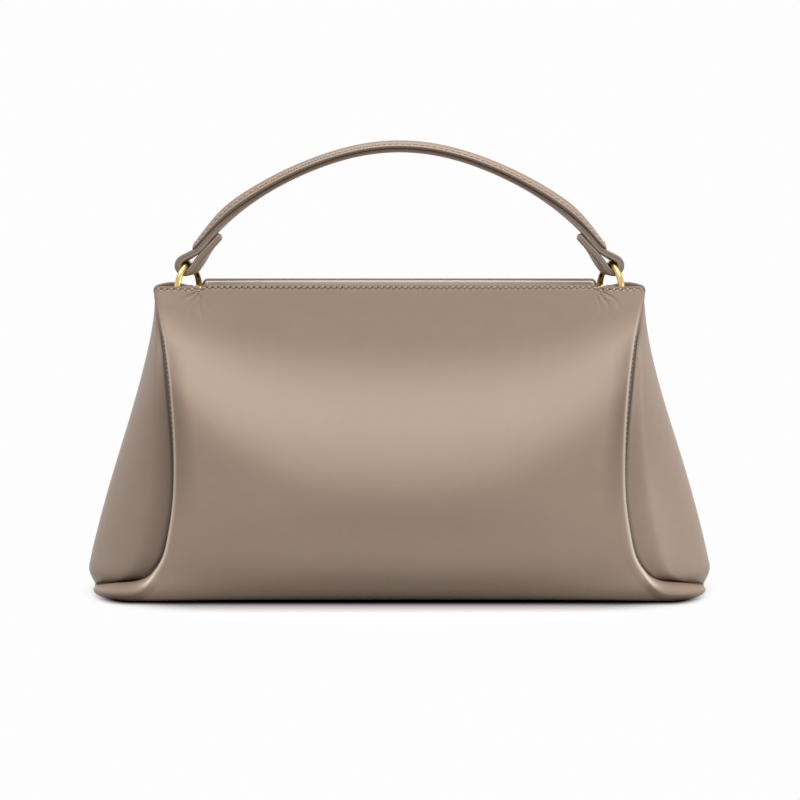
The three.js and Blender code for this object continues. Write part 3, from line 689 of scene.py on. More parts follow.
near_rim_rows = [np.linspace(0, 0.1, 13)[:-1], np.linspace(0.1, 0.4, 14)[:-1], np.linspace(0.4, 1, 16)[:-1]]
PANEL_ROWS = np.concatenate([*near_rim_rows, np.linspace(1, 5, 84)[:-1], np.linspace(5, LAST_ROW, 24)])
half_columns = [
    np.linspace(0, 1.4, 50)[:-1], np.linspace(1.4, 1.88, 44)[:-1], np.linspace(1.88, 2, 6)[:-1],
    np.linspace(2, 3, 29)[:-1], np.linspace(3, 4, 4),
]
half_columns = np.concatenate(half_columns)
PANEL_COLUMNS = np.concatenate([-half_columns[:0:-1], half_columns])


def down_panel(low, high):
    """Rises from 0 to 1 between two rows of the panel."""
    return smooth(PANEL_ROWS, low, high)[:, None]


def panel_grid(seed, end_drop):
    plain = settled(panel_skin(PANEL_ROWS, PANEL_COLUMNS), PANEL_ROWS, end_drop)
    normals = grid_normals(plain)
    sewn = 1 - smooth(np.abs(PANEL_COLUMNS), 1.7, 2)[None, :]
    calm = down_panel(0.05, 0.8) * (1 - down_panel(4, 5))
    run = travelled(plain, 0)[:, None]
    height = WAVE_HEIGHT * soft_waves(plain, seed) * sewn * calm + PUCKER_DEPTH * puckers(plain)
    height -= GROOVE_DEPTH * bell(run - STITCH_DROP, GROOVE_WIDTH)
    grid = plain + normals * height[..., None]
    grid[..., 2] = np.maximum(grid[..., 2], 0)
    return with_fold(grid, RIM_RADIUS, HEM_ROWS, plain)


def panel_burnish(row_count):
    """Painted highlight along the rolled edge; painted shade where it dives into the ditch, beside the
    upper seams, on the lips and on the fold of the rim.
    """
    edge = np.abs(PANEL_COLUMNS) - 2
    middle = 0.5 + 0.25 * down_panel(4.2, 5.4)
    painted_light = EDGE_HIGHLIGHT * (1 - 0.9 * down_panel(4.5, 5.2)) * bell(edge - middle, HIGHLIGHT_WIDTH)
    painted_light = painted_light - LIP_PAINTED_SHADE * down_panel(4.6, 5.4) * smooth(edge, -0.1, 0.2)
    upper = down_panel(0.8, 1.8) * (1 - down_panel(2.1, 3))
    painted_dark = smooth(edge - middle, 0.22, 0.4) + EDGE_PAINTED_SHADE * smooth(edge, -0.16, 0.03) * upper
    down = down_panel(0.2, 1.4)
    fold = np.zeros((row_count - len(PANEL_ROWS), len(edge)))
    fold[-FOLD_STEPS:] = -FOLD_PAINTED_SHADE
    return np.vstack([fold, down * (painted_light - painted_dark)])


def hide(name, grid, burnish):
    skin = laid(f"{name}_leather", grid, body_leather, burnish=burnish)
    attach(thickened(skin, SKIN), "bag", "body_leather", name)


front_grid = panel_grid(11, END_RIM_DROP)
rim_x = panel_skin(np.zeros(1), PANEL_COLUMNS)[0, :, 0]
rear_grid = panel_grid(23, rear_drop(rim_x)) * HALF_TURN
hide("front_panel", front_grid, panel_burnish(len(front_grid)))
hide("rear_panel", rear_grid, panel_burnish(len(rear_grid)))

# %% [markdown]
# ## Gussets
# The gussets close the bag's ends. They bulge like half a barrel, lie folded in a ditch behind the panels'
# rolled edges, and run out to a point between the two lips of the base. The grid rule is the same as for
# the panels, with a soft vertical break in the middle where the bag folds when it is carried.

# %% Gusset grids
GUSSET_RADIUS = 1.0
GUSSET_WAVE = 0.5
BREAK_DEPTH, BREAK_WIDTH = 0.8, 0.16
# Painted shade on the gussets: towards the ditch, a thin line in it and in the corners of the base; deeper
# on the left gusset than on the right.
DITCH_SHADE, DITCH_WIDTH, DITCH_PAINTED_SHADE, DITCH_EDGE = 8.0, 0.8, 0.5, 0.99
CORNER_PAINTED_SHADE, CORNER_SHADE = 0.6, 15.0
GUSSET_PAINTED_SHADE = {"right": 0.1, "left": 0.55}
GUSSET_COLUMNS = np.sin(np.linspace(-math.pi / 2, math.pi / 2, 61))
GUSSET_COLUMNS = 0.45 * GUSSET_COLUMNS + 0.55 * np.linspace(-1, 1, 61)
GUSSET_ROWS = np.concatenate([*near_rim_rows, np.linspace(1, LAST_ROW - 0.02, 80)])


def gusset_grid(seed, rear):
    sag = (rear_drop(MOUTH_LENGTH / 2) - END_RIM_DROP) * smooth(GUSSET_COLUMNS * rear, 0, 1)
    end_drop = END_RIM_DROP + sag + GUSSET_DIP * (1 - GUSSET_COLUMNS**2)
    grid = settled(gusset_skin(GUSSET_ROWS, GUSSET_COLUMNS), GUSSET_ROWS, end_drop)
    normals = grid_normals(grid)
    calm = (smooth(GUSSET_ROWS, 0.1, 1) * (1 - smooth(GUSSET_ROWS, 3.6, 4.8)))[:, None]
    free = (1 - smooth(np.abs(GUSSET_COLUMNS), 0.6, 0.95))[None, :]
    fold_line = bell(GUSSET_COLUMNS, BREAK_WIDTH)[None, :] * (1 - smooth(GUSSET_ROWS, 1.2, 2.6))[:, None]
    height = GUSSET_WAVE * soft_waves(grid, seed) * free * calm - BREAK_DEPTH * fold_line * calm
    grid = grid + normals * height[..., None]
    return with_fold(grid, GUSSET_RADIUS, HEM_ROWS)


def gusset_burnish(row_count, shade_depth):
    """Painted shade towards the ditch and in the corners of the base; row_count counts the fold's rows too.
    """
    half_depth = -on_line("seam", GUSSET_ROWS)[:, 1:2]
    from_ditch = np.maximum(DITCH_EDGE - np.abs(GUSSET_COLUMNS), 0)[None, :] * half_depth
    dark = shade_depth * np.exp(-from_ditch / DITCH_SHADE) + DITCH_PAINTED_SHADE * bell(from_ditch, DITCH_WIDTH)
    dark *= smooth(GUSSET_ROWS, 0.5, 2.2)[:, None]
    dark += CORNER_PAINTED_SHADE * np.exp(-from_ditch / CORNER_SHADE) * smooth(GUSSET_ROWS, 3.6, 4.9)[:, None]
    return np.vstack([np.zeros((row_count - len(GUSSET_ROWS), len(GUSSET_COLUMNS))), -dark])


gusset_grids = {"right": gusset_grid(31, 1), "left": gusset_grid(47, -1) * HALF_TURN}
for name, grid in gusset_grids.items():
    hide(f"{name}_gusset", grid, gusset_burnish(len(grid), GUSSET_PAINTED_SHADE[name]))

# %% [markdown]
# ## Lining, base cloth and pocket
# Through the mouth the lining shows: twill on the four walls, a cloth over the base board and a flat pocket
# on the rear wall. Each wall's cloth is the leather's own skin moved inwards by a few millimetres. The
# walls meet in the corners, where both take the same last column of points deep in the ditch.

# %% Wall linings
LINING_DEPTH = 2.5
LINING_WALL = 0.5
CORNER_DEPTH = 5.5
PANEL_LINED, GUSSET_LINED = 1.96, 0.84
LINING_ROWS = np.concatenate([np.linspace(0.13, 1, 16)[:-1], np.linspace(1, 4.75, 46)])
BASE_TOP = 4.9


def moved_in(grid, depth):
    return grid - grid_normals(grid) * depth


def wall_lining(skin, half, count, first, last):
    """A wall's skin moved inwards, with a corner line on either side, above the base board's cloth."""
    across = np.linspace(-half, half, count)
    grid = moved_in(settled(skin(LINING_ROWS, across), LINING_ROWS), LINING_DEPTH)
    corner = (on_line("seam", LINING_ROWS) + tuck_way(LINING_ROWS) * CORNER_DEPTH)[:, None, :]
    grid = np.concatenate([corner * first, grid, corner * last], axis=1)
    grid[..., 2] = np.maximum(grid[..., 2], BASE_TOP)
    return grid


def cloth_piece(name, grid, rests_on, *replaced):
    """A sheet of lining cloth, thickened and attached to the bag in place of the named CAD pieces."""
    cloth = laid(name, grid[:, ::-1], lining_cloth)
    attach(thickened(cloth, LINING_WALL), "bag", "lining", *replaced)


front_lining = wall_lining(panel_skin, PANEL_LINED, 81, (-1, 1, 1), (1, 1, 1))
right_lining = wall_lining(gusset_skin, GUSSET_LINED, 41, (1, 1, 1), (1, -1, 1))
cloth_piece("front_lining_cloth", front_lining, "front_panel_leather", "front_lining")
cloth_piece("rear_lining_cloth", front_lining * HALF_TURN, "rear_panel_leather", "rear_lining")
cloth_piece("right_lining_cloth", right_lining, "right_gusset_leather", "right_lining")
cloth_piece("left_lining_cloth", right_lining * HALF_TURN, "left_gusset_leather", "left_lining")

# %% Base cloth, board and pocket
BOARD_LENGTH, BOARD_DEPTH, BOARD_CORNER = 296, 96, 22
BASE_RISE = 0.3
ACROSS_UNIT = 62
POCKET_LENGTH = 150
POCKET_DEPTH = LINING_DEPTH + 0.9


def base_cloth():
    """A rounded rectangle in rings, with a slight rise at its edge where it meets the walls."""
    turns = full_turn(96)
    cos, sin = np.cos(turns), np.sin(turns)
    x = np.sign(cos) * (BOARD_LENGTH / 2 - BOARD_CORNER) + BOARD_CORNER * cos
    y = np.sign(sin) * (BOARD_DEPTH / 2 - BOARD_CORNER) + BOARD_CORNER * sin
    shares = np.linspace(0.002, 1, 12)
    heights = [np.full_like(x, BASE_TOP + BASE_RISE * share**8) for share in shares]
    rings = [np.stack([x * share, y * share, z], axis=-1) for share, z in zip(shares, heights)]
    return np.stack(rings)


def refinish(name, material):
    """Gives its own material to a CAD piece that is shown as it is."""
    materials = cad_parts[name].data.materials
    materials.clear()
    materials.append(material)


base = laid("base_lining_cloth", base_cloth(), lining_cloth, round_columns=True)
attach(thickened(base, LINING_WALL), "bag", "lining", "base_lining")
refinish("base_board", board_fibre)

pocket_rows = np.linspace(1.0, 2.0, 24)
pocket_across = np.linspace(-1, 1, 49) * POCKET_LENGTH / 2 / ACROSS_UNIT
pocket_grid = moved_in(panel_skin(pocket_rows, pocket_across), POCKET_DEPTH) * HALF_TURN
cloth_piece("slip_pocket_cloth", pocket_grid, "rear_lining_cloth", "slip_pocket")

# %% [markdown]
# ## Facings
# Behind the middle of each rim a leather strip stiffens the mouth and carries the snap. The rear one shows
# over the front rim as a pale band with rounded ends. It is the panel's skin moved in just behind the rim's
# fold, with its own rounded top edge. Its leather is painted far paler than the trim: painted light for
# the top light that the band catches.

# %% Facing strips
FACING_DEPTH = 3.8
FACING_SETBACK = 2.0
FACING_RADIUS = 0.75
FACING_CORNER = 3.0
FACING_DROP = 0.5
FACING_WALL = 0.6
FACING_CROWD = 1.35
FACING_ROWS = np.concatenate([np.linspace(0, 0.1, 9)[:-1], np.linspace(0.1, 0.8, 24)])


def facing_grid():
    columns = np.linspace(-1, 1, 141)
    crowded = np.sign(columns) * (1 - (1 - np.abs(columns)) ** FACING_CROWD)
    grid = panel_skin(FACING_ROWS, crowded * 2 * FACING_END / LINES["roll"][0, 0])
    near_rim = np.clip(1 - FACING_ROWS / NEAR_RIM, 0, 1)[:, None]
    past = np.clip(np.abs(grid[..., 0]) - FACING_END + FACING_CORNER, 0, FACING_CORNER)
    grid[..., 2] -= (FACING_RADIUS + FACING_DROP) * near_rim
    grid[..., 2] -= (FACING_CORNER - np.sqrt(FACING_CORNER**2 - past**2 + 1e-6)) * near_rim
    depth = FACING_DEPTH + FACING_SETBACK * smooth(FACING_ROWS, 0.02, 0.3)[:, None, None]
    inner = moved_in(grid, depth)[:, ::-1]
    return with_fold(inner, FACING_RADIUS, np.arange(0, len(FACING_ROWS), 3))


front_facing = facing_grid()
for name, grid in (("front", front_facing), ("rear", front_facing * HALF_TURN)):
    strip = laid(f"{name}_facing_painted_light", grid, facing_painted_light)
    attach(thickened(strip, FACING_WALL), "bag", "trim_leather", f"{name}_facing")

# %% [markdown]
# ## Rings
# Each D-ring is bent from round brass wire: a slightly pointed arch over a flat foot that the leather tab
# holds. A turned torus would miss the flat foot, so the wire is a circle swept along the ring's own line,
# in a plane that stands askew to the bag's side.

# %% Ring wire
RING_WIRE = 3.5
RING_WIDTH = 27.5
RING_ARCH, RING_FOOT = 12.5, 4
RING_TURN = math.radians(60)
RING_INSET, BAR_DROP = 19.2, 6.5
LIMB_POWER, ARCH_POWER, FOOT_POWER = 1.2, 1.25, 0.5
RING_STEPS, RING_SOFTNESS = 160, 2.0
RING_X = MOUTH_LENGTH / 2 - RING_INSET
BAR_Z = BODY_HEIGHT - BAR_DROP
APEX_Z = BAR_Z + RING_FOOT + RING_ARCH


def evenly(line, count):
    """Points at even steps along a line of points."""
    run = run_along(line)
    return read_off(np.linspace(0, run[-1], count), run, line)


def ring_line():
    """The ring's line as two columns, along its width and up from its middle."""
    turns = np.linspace(0, 2 * math.pi, 2001)
    cos, sin = np.cos(turns), np.sin(turns)
    reach = (RING_WIDTH - RING_WIRE) / 2
    root = np.sign(cos) * np.abs(cos) ** FOOT_POWER
    limb = np.sign(cos) * np.abs(cos) ** LIMB_POWER
    along = np.where(sin >= 0, limb, root) * reach
    arch, foot = np.abs(sin) ** ARCH_POWER * RING_ARCH, -np.abs(sin) ** FOOT_POWER * RING_FOOT
    up = np.where(sin >= 0, arch, foot)
    return evenly(np.stack([along, up], axis=1), RING_STEPS + 1)[:-1]


def ring_grid():
    thrice = np.column_stack([np.tile(ring_line(), (3, 1)), np.zeros(3 * RING_STEPS)])
    line = softened(thrice, RING_SOFTNESS)[RING_STEPS : 2 * RING_STEPS, :2]
    way = unit(np.roll(line, -1, axis=0) - np.roll(line, 1, axis=0))
    out = np.stack([way[:, 1], -way[:, 0]], axis=1)
    round_turn = full_turn(24)
    flat = line[:, None, :] + out[:, None, :] * (RING_WIRE / 2 * np.cos(round_turn))[None, :, None]
    side = np.broadcast_to(RING_WIRE / 2 * np.sin(round_turn), flat.shape[:2])
    x = flat[..., 0] * math.cos(RING_TURN) - side * math.sin(RING_TURN)
    y = flat[..., 0] * math.sin(RING_TURN) + side * math.cos(RING_TURN)
    return np.stack([x - RING_X, y, flat[..., 1] + BAR_Z + RING_FOOT], axis=-1)


MIRROR = (-1, 1, 1)
left_wire = ring_grid()
for side, grid in (("left", left_wire[::-1]), ("right", left_wire * MIRROR)):
    ring = laid(f"{side}_ring_wire", grid, ring_brass, round_columns=True, round_rows=True)
    attach(ring, f"{side}_ring", "ring_brass", f"{side}_ring")

# %% [markdown]
# ## Handle strap
# The strap is two plies of leather glued back to back, cut through and painted at the edges. It runs over
# the arch, turns round each ring and comes back as a short sewn tab. A ribbon function sweeps one rounded
# section along that whole route; a shallow groove along the edge shows where the plies meet. At the loops
# the strap is thicker and twists a little towards the wire that it holds.

# %% Ribbon helper
EDGE_ROUND = 0.7
PLY_GROOVE, GROOVE_HALF, GROOVE_EASE = 0.16, 0.16, 0.02
END_SHARE, THINNEST = 0.6, 0.0004


def strap_section(width, thickness):
    """Rounded section as columns along the width and up; its sides carry the groove between the plies."""
    half, rise = width / 2, thickness / 2
    turns = np.linspace(0, math.pi / 2, 5)
    out, above = EDGE_ROUND * np.cos(turns), EDGE_ROUND * np.sin(turns)
    corner = np.stack([half - EDGE_ROUND + out, rise - EDGE_ROUND + above], axis=1)
    side = np.array([[half - PLY_GROOVE, 0], [half - GROOVE_EASE, GROOVE_HALF]])
    quarter = np.vstack([side, corner, [[half * 0.5, rise], [0, rise]]])
    upper = np.vstack([quarter, quarter[-2::-1] * (-1, 1)])
    return np.vstack([upper, upper[-2:0:-1] * (1, -1)])


def ribbon(path, up, wide, section, ends=1.6, swell=1.0):
    """A section swept along a path, narrowed to rounded ends; swell thickens it from place to place."""
    run = run_along(path)
    from_end = np.minimum(run, run[-1] - run)
    share = np.clip(from_end / ends, 0, 1)
    rise = np.sqrt(np.clip(1 - (1 - share) ** 2, THINNEST, 1))[:, None, None]
    along = section[None, :, :1] * (END_SHARE + (1 - END_SHARE) * rise)
    above = section[None, :, 1:] * rise * np.reshape(swell, (-1, 1, 1))
    return path[:, None, :] + wide[:, None, :] * along + up[:, None, :] * above


def capped_mesh(name, grid, burnish=None):
    """A tube mesh from rings of points, with a face closing each end."""
    mesh = sheet_mesh(name, grid, round_columns=True)
    count = grid.shape[1]
    last = (grid.shape[0] - 1) * count
    points = [tuple(vertex.co) for vertex in mesh.vertices]
    faces = [tuple(face.vertices) for face in mesh.polygons]
    faces += [tuple(range(count)), tuple(range(last + count - 1, last - 1, -1))]
    mesh.clear_geometry()
    mesh.from_pydata(points, [], faces)
    add_burnish(mesh, burnish)
    mesh.shade_smooth()
    return mesh


def outward_faces(thing):
    """Turns a closed mesh's faces outwards."""
    shell = bmesh.new()
    shell.from_mesh(thing.data)
    bmesh.ops.recalc_face_normals(shell, faces=shell.faces)
    shell.to_mesh(thing.data)
    shell.free()
    return thing


def swept(name, grid, burnish=None):
    return outward_faces(linked(name, capped_mesh(name, grid, burnish), trim_leather))


def paint_edges(thing, chosen):
    """Gives the painted finish to the faces between chosen points of a swept section."""
    thing.data.materials.append(painted_edge)
    for face in thing.data.polygons:
        columns = [corner % len(chosen) for corner in face.vertices]
        face.material_index = int(len(columns) == 4 and all(chosen[columns]))


# %% Strap route
HANDLE_RISE = 65.3
STRAP_WIDTH, STRAP_PLY = 9, 2.4
RETURN_PLY, RETURN_GAP = 4.0, 0.25
LOOP_OUTER, LOOP_DROP = 6.3, 0.5
LOOP_TWIST = math.radians(24)
LOOP_PAINTED_LIGHT, GAP_PAINTED_SHADE = 0.22, 0.85
NECK_LENGTH, TAB_LENGTH = 9.8, 15.5
SWELL_STARTS, SWELL_ENDS = 60, 5
TWIST_HELD, TWIST_GONE = 8, 26
GAP_STARTS, UNDERSIDE = 3, (0.6, 1.1)
FLANK_IN = 1.8
STRAP_STEPS, STRAP_SOFTNESS = 520, 2.0
STRAP_RADIUS = (RING_X**2 + HANDLE_RISE**2) / (2 * HANDLE_RISE)
ARC_Z = APEX_Z - LOOP_DROP + HANDLE_RISE - STRAP_RADIUS
LOOP_ANGLE = math.asin(RING_X / STRAP_RADIUS)
NECK_ANGLE = LOOP_ANGLE - NECK_LENGTH / STRAP_RADIUS
TAB_ANGLE = NECK_ANGLE - TAB_LENGTH / STRAP_RADIUS


def on_arc(radius, angles):
    return np.stack([radius * np.sin(angles), ARC_Z + radius * np.cos(angles)], axis=-1)


def loop_turn(centre, start, finish, radius):
    """A right-hand loop: straight from start to a circle, round it, and straight to finish."""

    def touching(point, side):
        offset = point - centre
        return math.atan2(offset[1], offset[0]) + side * math.acos(radius / np.linalg.norm(offset))

    leave, arrive = touching(start, -1), touching(finish, 1)
    turns = np.linspace(leave, arrive - 2 * math.pi if arrive > leave else arrive, 60)
    return centre + radius * np.stack([np.cos(turns), np.sin(turns)], axis=1)


def strap_route():
    """The strap's middle line, from the end of the left tab over the arch to the end of the right one."""
    share = np.linspace(0, 1, 90)
    drawn_in = FLANK_IN * np.sin(math.pi * share) ** 2
    arch = on_arc((STRAP_RADIUS - drawn_in)[:, None], NECK_ANGLE * share[:, None])[:, 0]
    under = STRAP_RADIUS - RETURN_PLY - RETURN_GAP
    folded = on_arc(under, np.linspace(NECK_ANGLE, TAB_ANGLE, 30))
    centre = on_arc(STRAP_RADIUS, LOOP_ANGLE)
    loop = loop_turn(centre, arch[-1], folded[0], LOOP_OUTER - RETURN_PLY / 2)
    half = np.vstack([arch, loop, folded])
    whole = np.vstack([half[:0:-1] * (-1, 1), half])
    return evenly(whole, STRAP_STEPS)


route = strap_route()
STRAP_PATH = softened(np.column_stack([route[:, 0], np.zeros(len(route)), route[:, 1]]), STRAP_SOFTNESS)
way = unit(np.gradient(STRAP_PATH[:, ::2], axis=0))
STRAP_RUN = run_along(STRAP_PATH)
FROM_APEX = np.abs(STRAP_RUN - STRAP_RUN[-1] / 2)
NECK_RUN = STRAP_RADIUS * NECK_ANGLE
TOWARDS_NECK = smooth(FROM_APEX, NECK_RUN - SWELL_STARTS, NECK_RUN - SWELL_ENDS)
LOOP_SWELL = 1 + (RETURN_PLY / STRAP_PLY - 1) * TOWARDS_NECK
STRAP_UP = np.column_stack([-way[:, 1], np.zeros(len(route)), way[:, 0]])
LOOP_RUN = FROM_APEX[np.argmin(STRAP_PATH[:, 2])]
off_loop = smooth(np.abs(FROM_APEX - LOOP_RUN), TWIST_HELD, TWIST_GONE)
twist = LOOP_TWIST * np.sign(STRAP_PATH[:, 0]) * (1 - off_loop)
STRAP_WIDE = np.column_stack([np.sin(twist), -np.cos(twist), np.zeros(len(route))])
section = strap_section(STRAP_WIDTH, STRAP_PLY)
strap_grid = ribbon(STRAP_PATH, STRAP_UP, STRAP_WIDE, section, swell=LOOP_SWELL)
# Painted light on the strap: lighter towards the loops, with painted shade on its underside where it lies
# over the return tab.
GAP_RUN = NECK_RUN - TAB_LENGTH
over_tab = smooth(FROM_APEX, GAP_RUN - GAP_STARTS, GAP_RUN)[:, None]
in_gap = over_tab * smooth(-section[:, 1], *UNDERSIDE)
strap_painted_light = LOOP_PAINTED_LIGHT * TOWARDS_NECK[:, None] * (section[:, 1] > -1) - GAP_PAINTED_SHADE * in_gap
strap = swept("handle_strap_leather", strap_grid, strap_painted_light)
paint_edges(strap, (np.abs(section[:, 0]) > STRAP_WIDTH / 2 - EDGE_ROUND * 0.75) & (section[:, 1] > -0.55))
attach(strap, "handle", "trim_leather", "handle_strap")

# %% [markdown]
# ## Handle cover
# Along the outside of the strap lies a padded cover: leather pulled over a round filler and sewn down on
# both slopes, with a cut and painted edge below. One domed profile with two sewn-in grooves is swept along
# the arch, a little fuller on the flanks. The filler is sealed inside, so the cover stands for both CAD
# pieces. A thin line of painted shade runs along the crown.

# %% Padded cover
CAP_WIDTH = 10
CAP_RISE = 4.0
CAP_FLANGE = 1.6
CAP_ROUND = 0.4
CAP_FLANK_SWELL, CAP_END_THIN = 0.2, 0.62
THIN_STARTS, THIN_ENDS = 34, 2
CAP_LIFT, CAP_ENDS = 0.08, 3.0
DOME_POWER = 2.2
STITCH_ASIDE = 3.6
STITCH_GROOVE, STITCH_GROOVE_WIDTH = 0.2, 0.35
CROWN_WIDTH, CROWN_PAINTED_SHADE = 2.0, 0.4


def dome(aside):
    """Height of the cover at a distance from its middle."""
    fall = (CAP_RISE - CAP_FLANGE) * (aside / (CAP_WIDTH / 2 - CAP_ROUND)) ** DOME_POWER
    return CAP_RISE - fall - STITCH_GROOVE * bell(aside - STITCH_ASIDE, STITCH_GROOVE_WIDTH)


def cover_section():
    half = CAP_WIDTH / 2
    flange = [(half, 0), (half, CAP_FLANGE * 0.68), (half - CAP_ROUND * 0.3, CAP_FLANGE * 0.88)]
    asides = np.concatenate([np.linspace(half - CAP_ROUND, 2.9, 9), np.linspace(2.5, 0, 6)])
    right = np.vstack([flange, np.stack([asides, dome(asides)], axis=1)])
    return np.vstack([right, right[-2::-1] * (-1, 1), [[-half * 0.5, 0], [0, 0], [half * 0.5, 0]]])


on_cover = FROM_APEX < NECK_RUN + 1
COVER_SWELL = 1 + CAP_FLANK_SWELL * smooth(FROM_APEX[on_cover] / NECK_RUN, 0.25, 0.75)
COVER_SWELL -= CAP_END_THIN * smooth(FROM_APEX[on_cover], NECK_RUN - THIN_STARTS, NECK_RUN - THIN_ENDS)
COVER_UP, COVER_WIDE = STRAP_UP[on_cover], STRAP_WIDE[on_cover]
COVER_PATH = STRAP_PATH[on_cover] + COVER_UP * (STRAP_PLY / 2 * LOOP_SWELL[on_cover] + CAP_LIFT)[:, None]
profile = cover_section()
cover_grid = ribbon(COVER_PATH, COVER_UP, COVER_WIDE, profile, ends=CAP_ENDS, swell=COVER_SWELL)
# Painted shade: a thin dark line along the cover's crown.
crown = -CROWN_PAINTED_SHADE * np.exp(-((profile[:, 0] / CROWN_WIDTH) ** 4)) * (profile[:, 1] > CAP_FLANGE)
cover = swept("handle_cover_leather", cover_grid, np.tile(crown, (len(cover_grid), 1)))
paint_edges(cover, np.abs(profile[:, 0]) > CAP_WIDTH / 2 - CAP_ROUND * 0.9)
attach(cover, "handle", "trim_leather", "handle_cap", "handle_core")

# %% [markdown]
# ## Ring tabs
# Inside the mouth a folded leather tab holds each ring by its foot and runs down the gusset, where it is
# sewn behind the lining's edge. The same ribbon function makes it: up along the gusset, round the foot of
# the ring, and down again on the other side.

# %% Ring tabs
TAB_WIDTH, TAB_PLY = 5.0, 1.3
TAB_BORE = (2.5, 3.35)
TAB_MEET, TAB_STEPS, TAB_SOFTNESS = 6.0, 400, 2.5
PLY_GAP = 0.05
TAB_SEATS = (146, 126, 106)
TAB_WALL_GAP = 6.2


def tab_route():
    """The middle line of the right tab, from the ring's foot down along the gusset."""
    end = LINES["end"]
    seats = [(np.interp(-z, -end[:, 2], end[:, 0]) - TAB_WALL_GAP, 0, z) for z in TAB_SEATS]
    meet = BAR_Z - TAB_BORE[1] - TAB_MEET
    drop = [(RING_X, 0, meet), (RING_X + 1, 0, meet - 4)]
    return evenly(through([*drop, *seats], np.linspace(0, 4, 200)), 60)


def tab_path():
    route = tab_route()
    share = np.linspace(0, 1, len(route))[:, None]
    twist = (math.pi / 2 - RING_TURN) * (1 - smooth(share, 0.0, 0.45))
    wide = np.concatenate([-np.sin(twist), np.cos(twist), np.zeros_like(twist)], axis=1)
    face = unit(np.cross(wide, np.gradient(route, axis=0)))
    half = TAB_PLY / 2 + PLY_GAP
    turns = np.linspace(0, math.pi, 31)[1:-1, None]
    reach, rise = TAB_BORE[0] + half, TAB_BORE[1] + half
    foot = np.array([RING_X, 0, BAR_Z])
    round_foot = foot + face[0] * reach * np.cos(turns) + np.array([0, 0, rise]) * np.sin(turns)
    path = np.vstack([route[::-1] + face[::-1] * half, round_foot, route - face * half])
    widths = np.vstack([wide[::-1], np.tile(wide[0], (len(turns), 1)), wide])
    even = evenly(np.hstack([path, widths]), TAB_STEPS)
    path, widths = softened(even[:, :3], TAB_SOFTNESS), unit(even[:, 3:])
    return path, unit(np.cross(np.gradient(path, axis=0), widths)), widths


path, up, wide = tab_path()
tab_grid = ribbon(path, up, wide, strap_section(TAB_WIDTH, TAB_PLY), ends=1.0)
for side, grid in (("right", tab_grid), ("left", tab_grid * MIRROR)):
    attach(swept(f"{side}_tab_leather", grid), "bag", "trim_leather", f"{side}_ring_tab")

# %% [markdown]
# ## Magnetic snap
# A bag with no zip is held shut by a small magnetic snap in the middle of the facings. Its two halves are
# turned parts, so their profiles are spun about their own axis and stood on the facings.

# %% Snap halves
SNAP_RADIUS = 7
STUD_RADIUS = 2.5
SNAP_ROWS, SNAP_COLUMNS = np.array([0.43, 0.45, 0.47]), np.array([-0.02, 0, 0.02])
SNAP_DEPTH = 6.1


def snap_half(profile):
    """A profile of radii and heights, spun about the normal of the panel's middle."""
    around = full_turn(48)
    skin = panel_skin(SNAP_ROWS, SNAP_COLUMNS)
    inwards = -grid_normals(skin)[1, 1]
    seat = skin[1, 1] + inwards * SNAP_DEPTH
    side = unit(np.cross(inwards, (0, 0, 1)))
    over = np.cross(side, inwards)
    spun = np.cos(around)[:, None] * side + np.sin(around)[:, None] * over
    return np.stack([seat + inwards * height + spun * radius for radius, height in profile])


socket = [
    (0.01, 0), (SNAP_RADIUS, 0), (SNAP_RADIUS, 2.8), (SNAP_RADIUS - 0.2, 3.3), (SNAP_RADIUS - 0.7, 3.6),
    (STUD_RADIUS + 0.8, 3.6), (STUD_RADIUS + 0.4, 3.4), (STUD_RADIUS + 0.3, 3.0), (STUD_RADIUS + 0.3, 1.2),
    (0.01, 1.2),
]
stud = [
    (0.01, 0), (SNAP_RADIUS, 0), (SNAP_RADIUS, 0.9), (SNAP_RADIUS - 0.2, 1.3), (SNAP_RADIUS - 0.7, 1.6),
    (STUD_RADIUS + 0.3, 1.6), (STUD_RADIUS, 1.9), (STUD_RADIUS, 3.3), (STUD_RADIUS - 0.4, 3.7), (0.01, 3.7),
]
for name, grid in (("snap_socket", snap_half(socket)), ("snap_stud", snap_half(stud) * HALF_TURN)):
    half = laid(f"{name}_turned", grid, snap_metal, round_columns=True)
    attach(outward_faces(half), "bag", "snap_metal", name)
for name in ("socket_washer", "stud_washer"):
    refinish(name, snap_metal)

# %% [markdown]
# ## Stitching
# Thread repeats at a fixed pitch along a path, which is what Geometry Nodes do best. The tree takes a line
# with an "up" vector at each point, cuts it at the pitch, and sets one bead of thread on each cut, turned
# along the line and tilted a little, as a machine's lockstitch lies. The same tree with other sizes and a
# dark thread sets sunken dark beads between the stitches, painted shade for the needle holes. A stitch is
# given as its pitch, its length and its width.


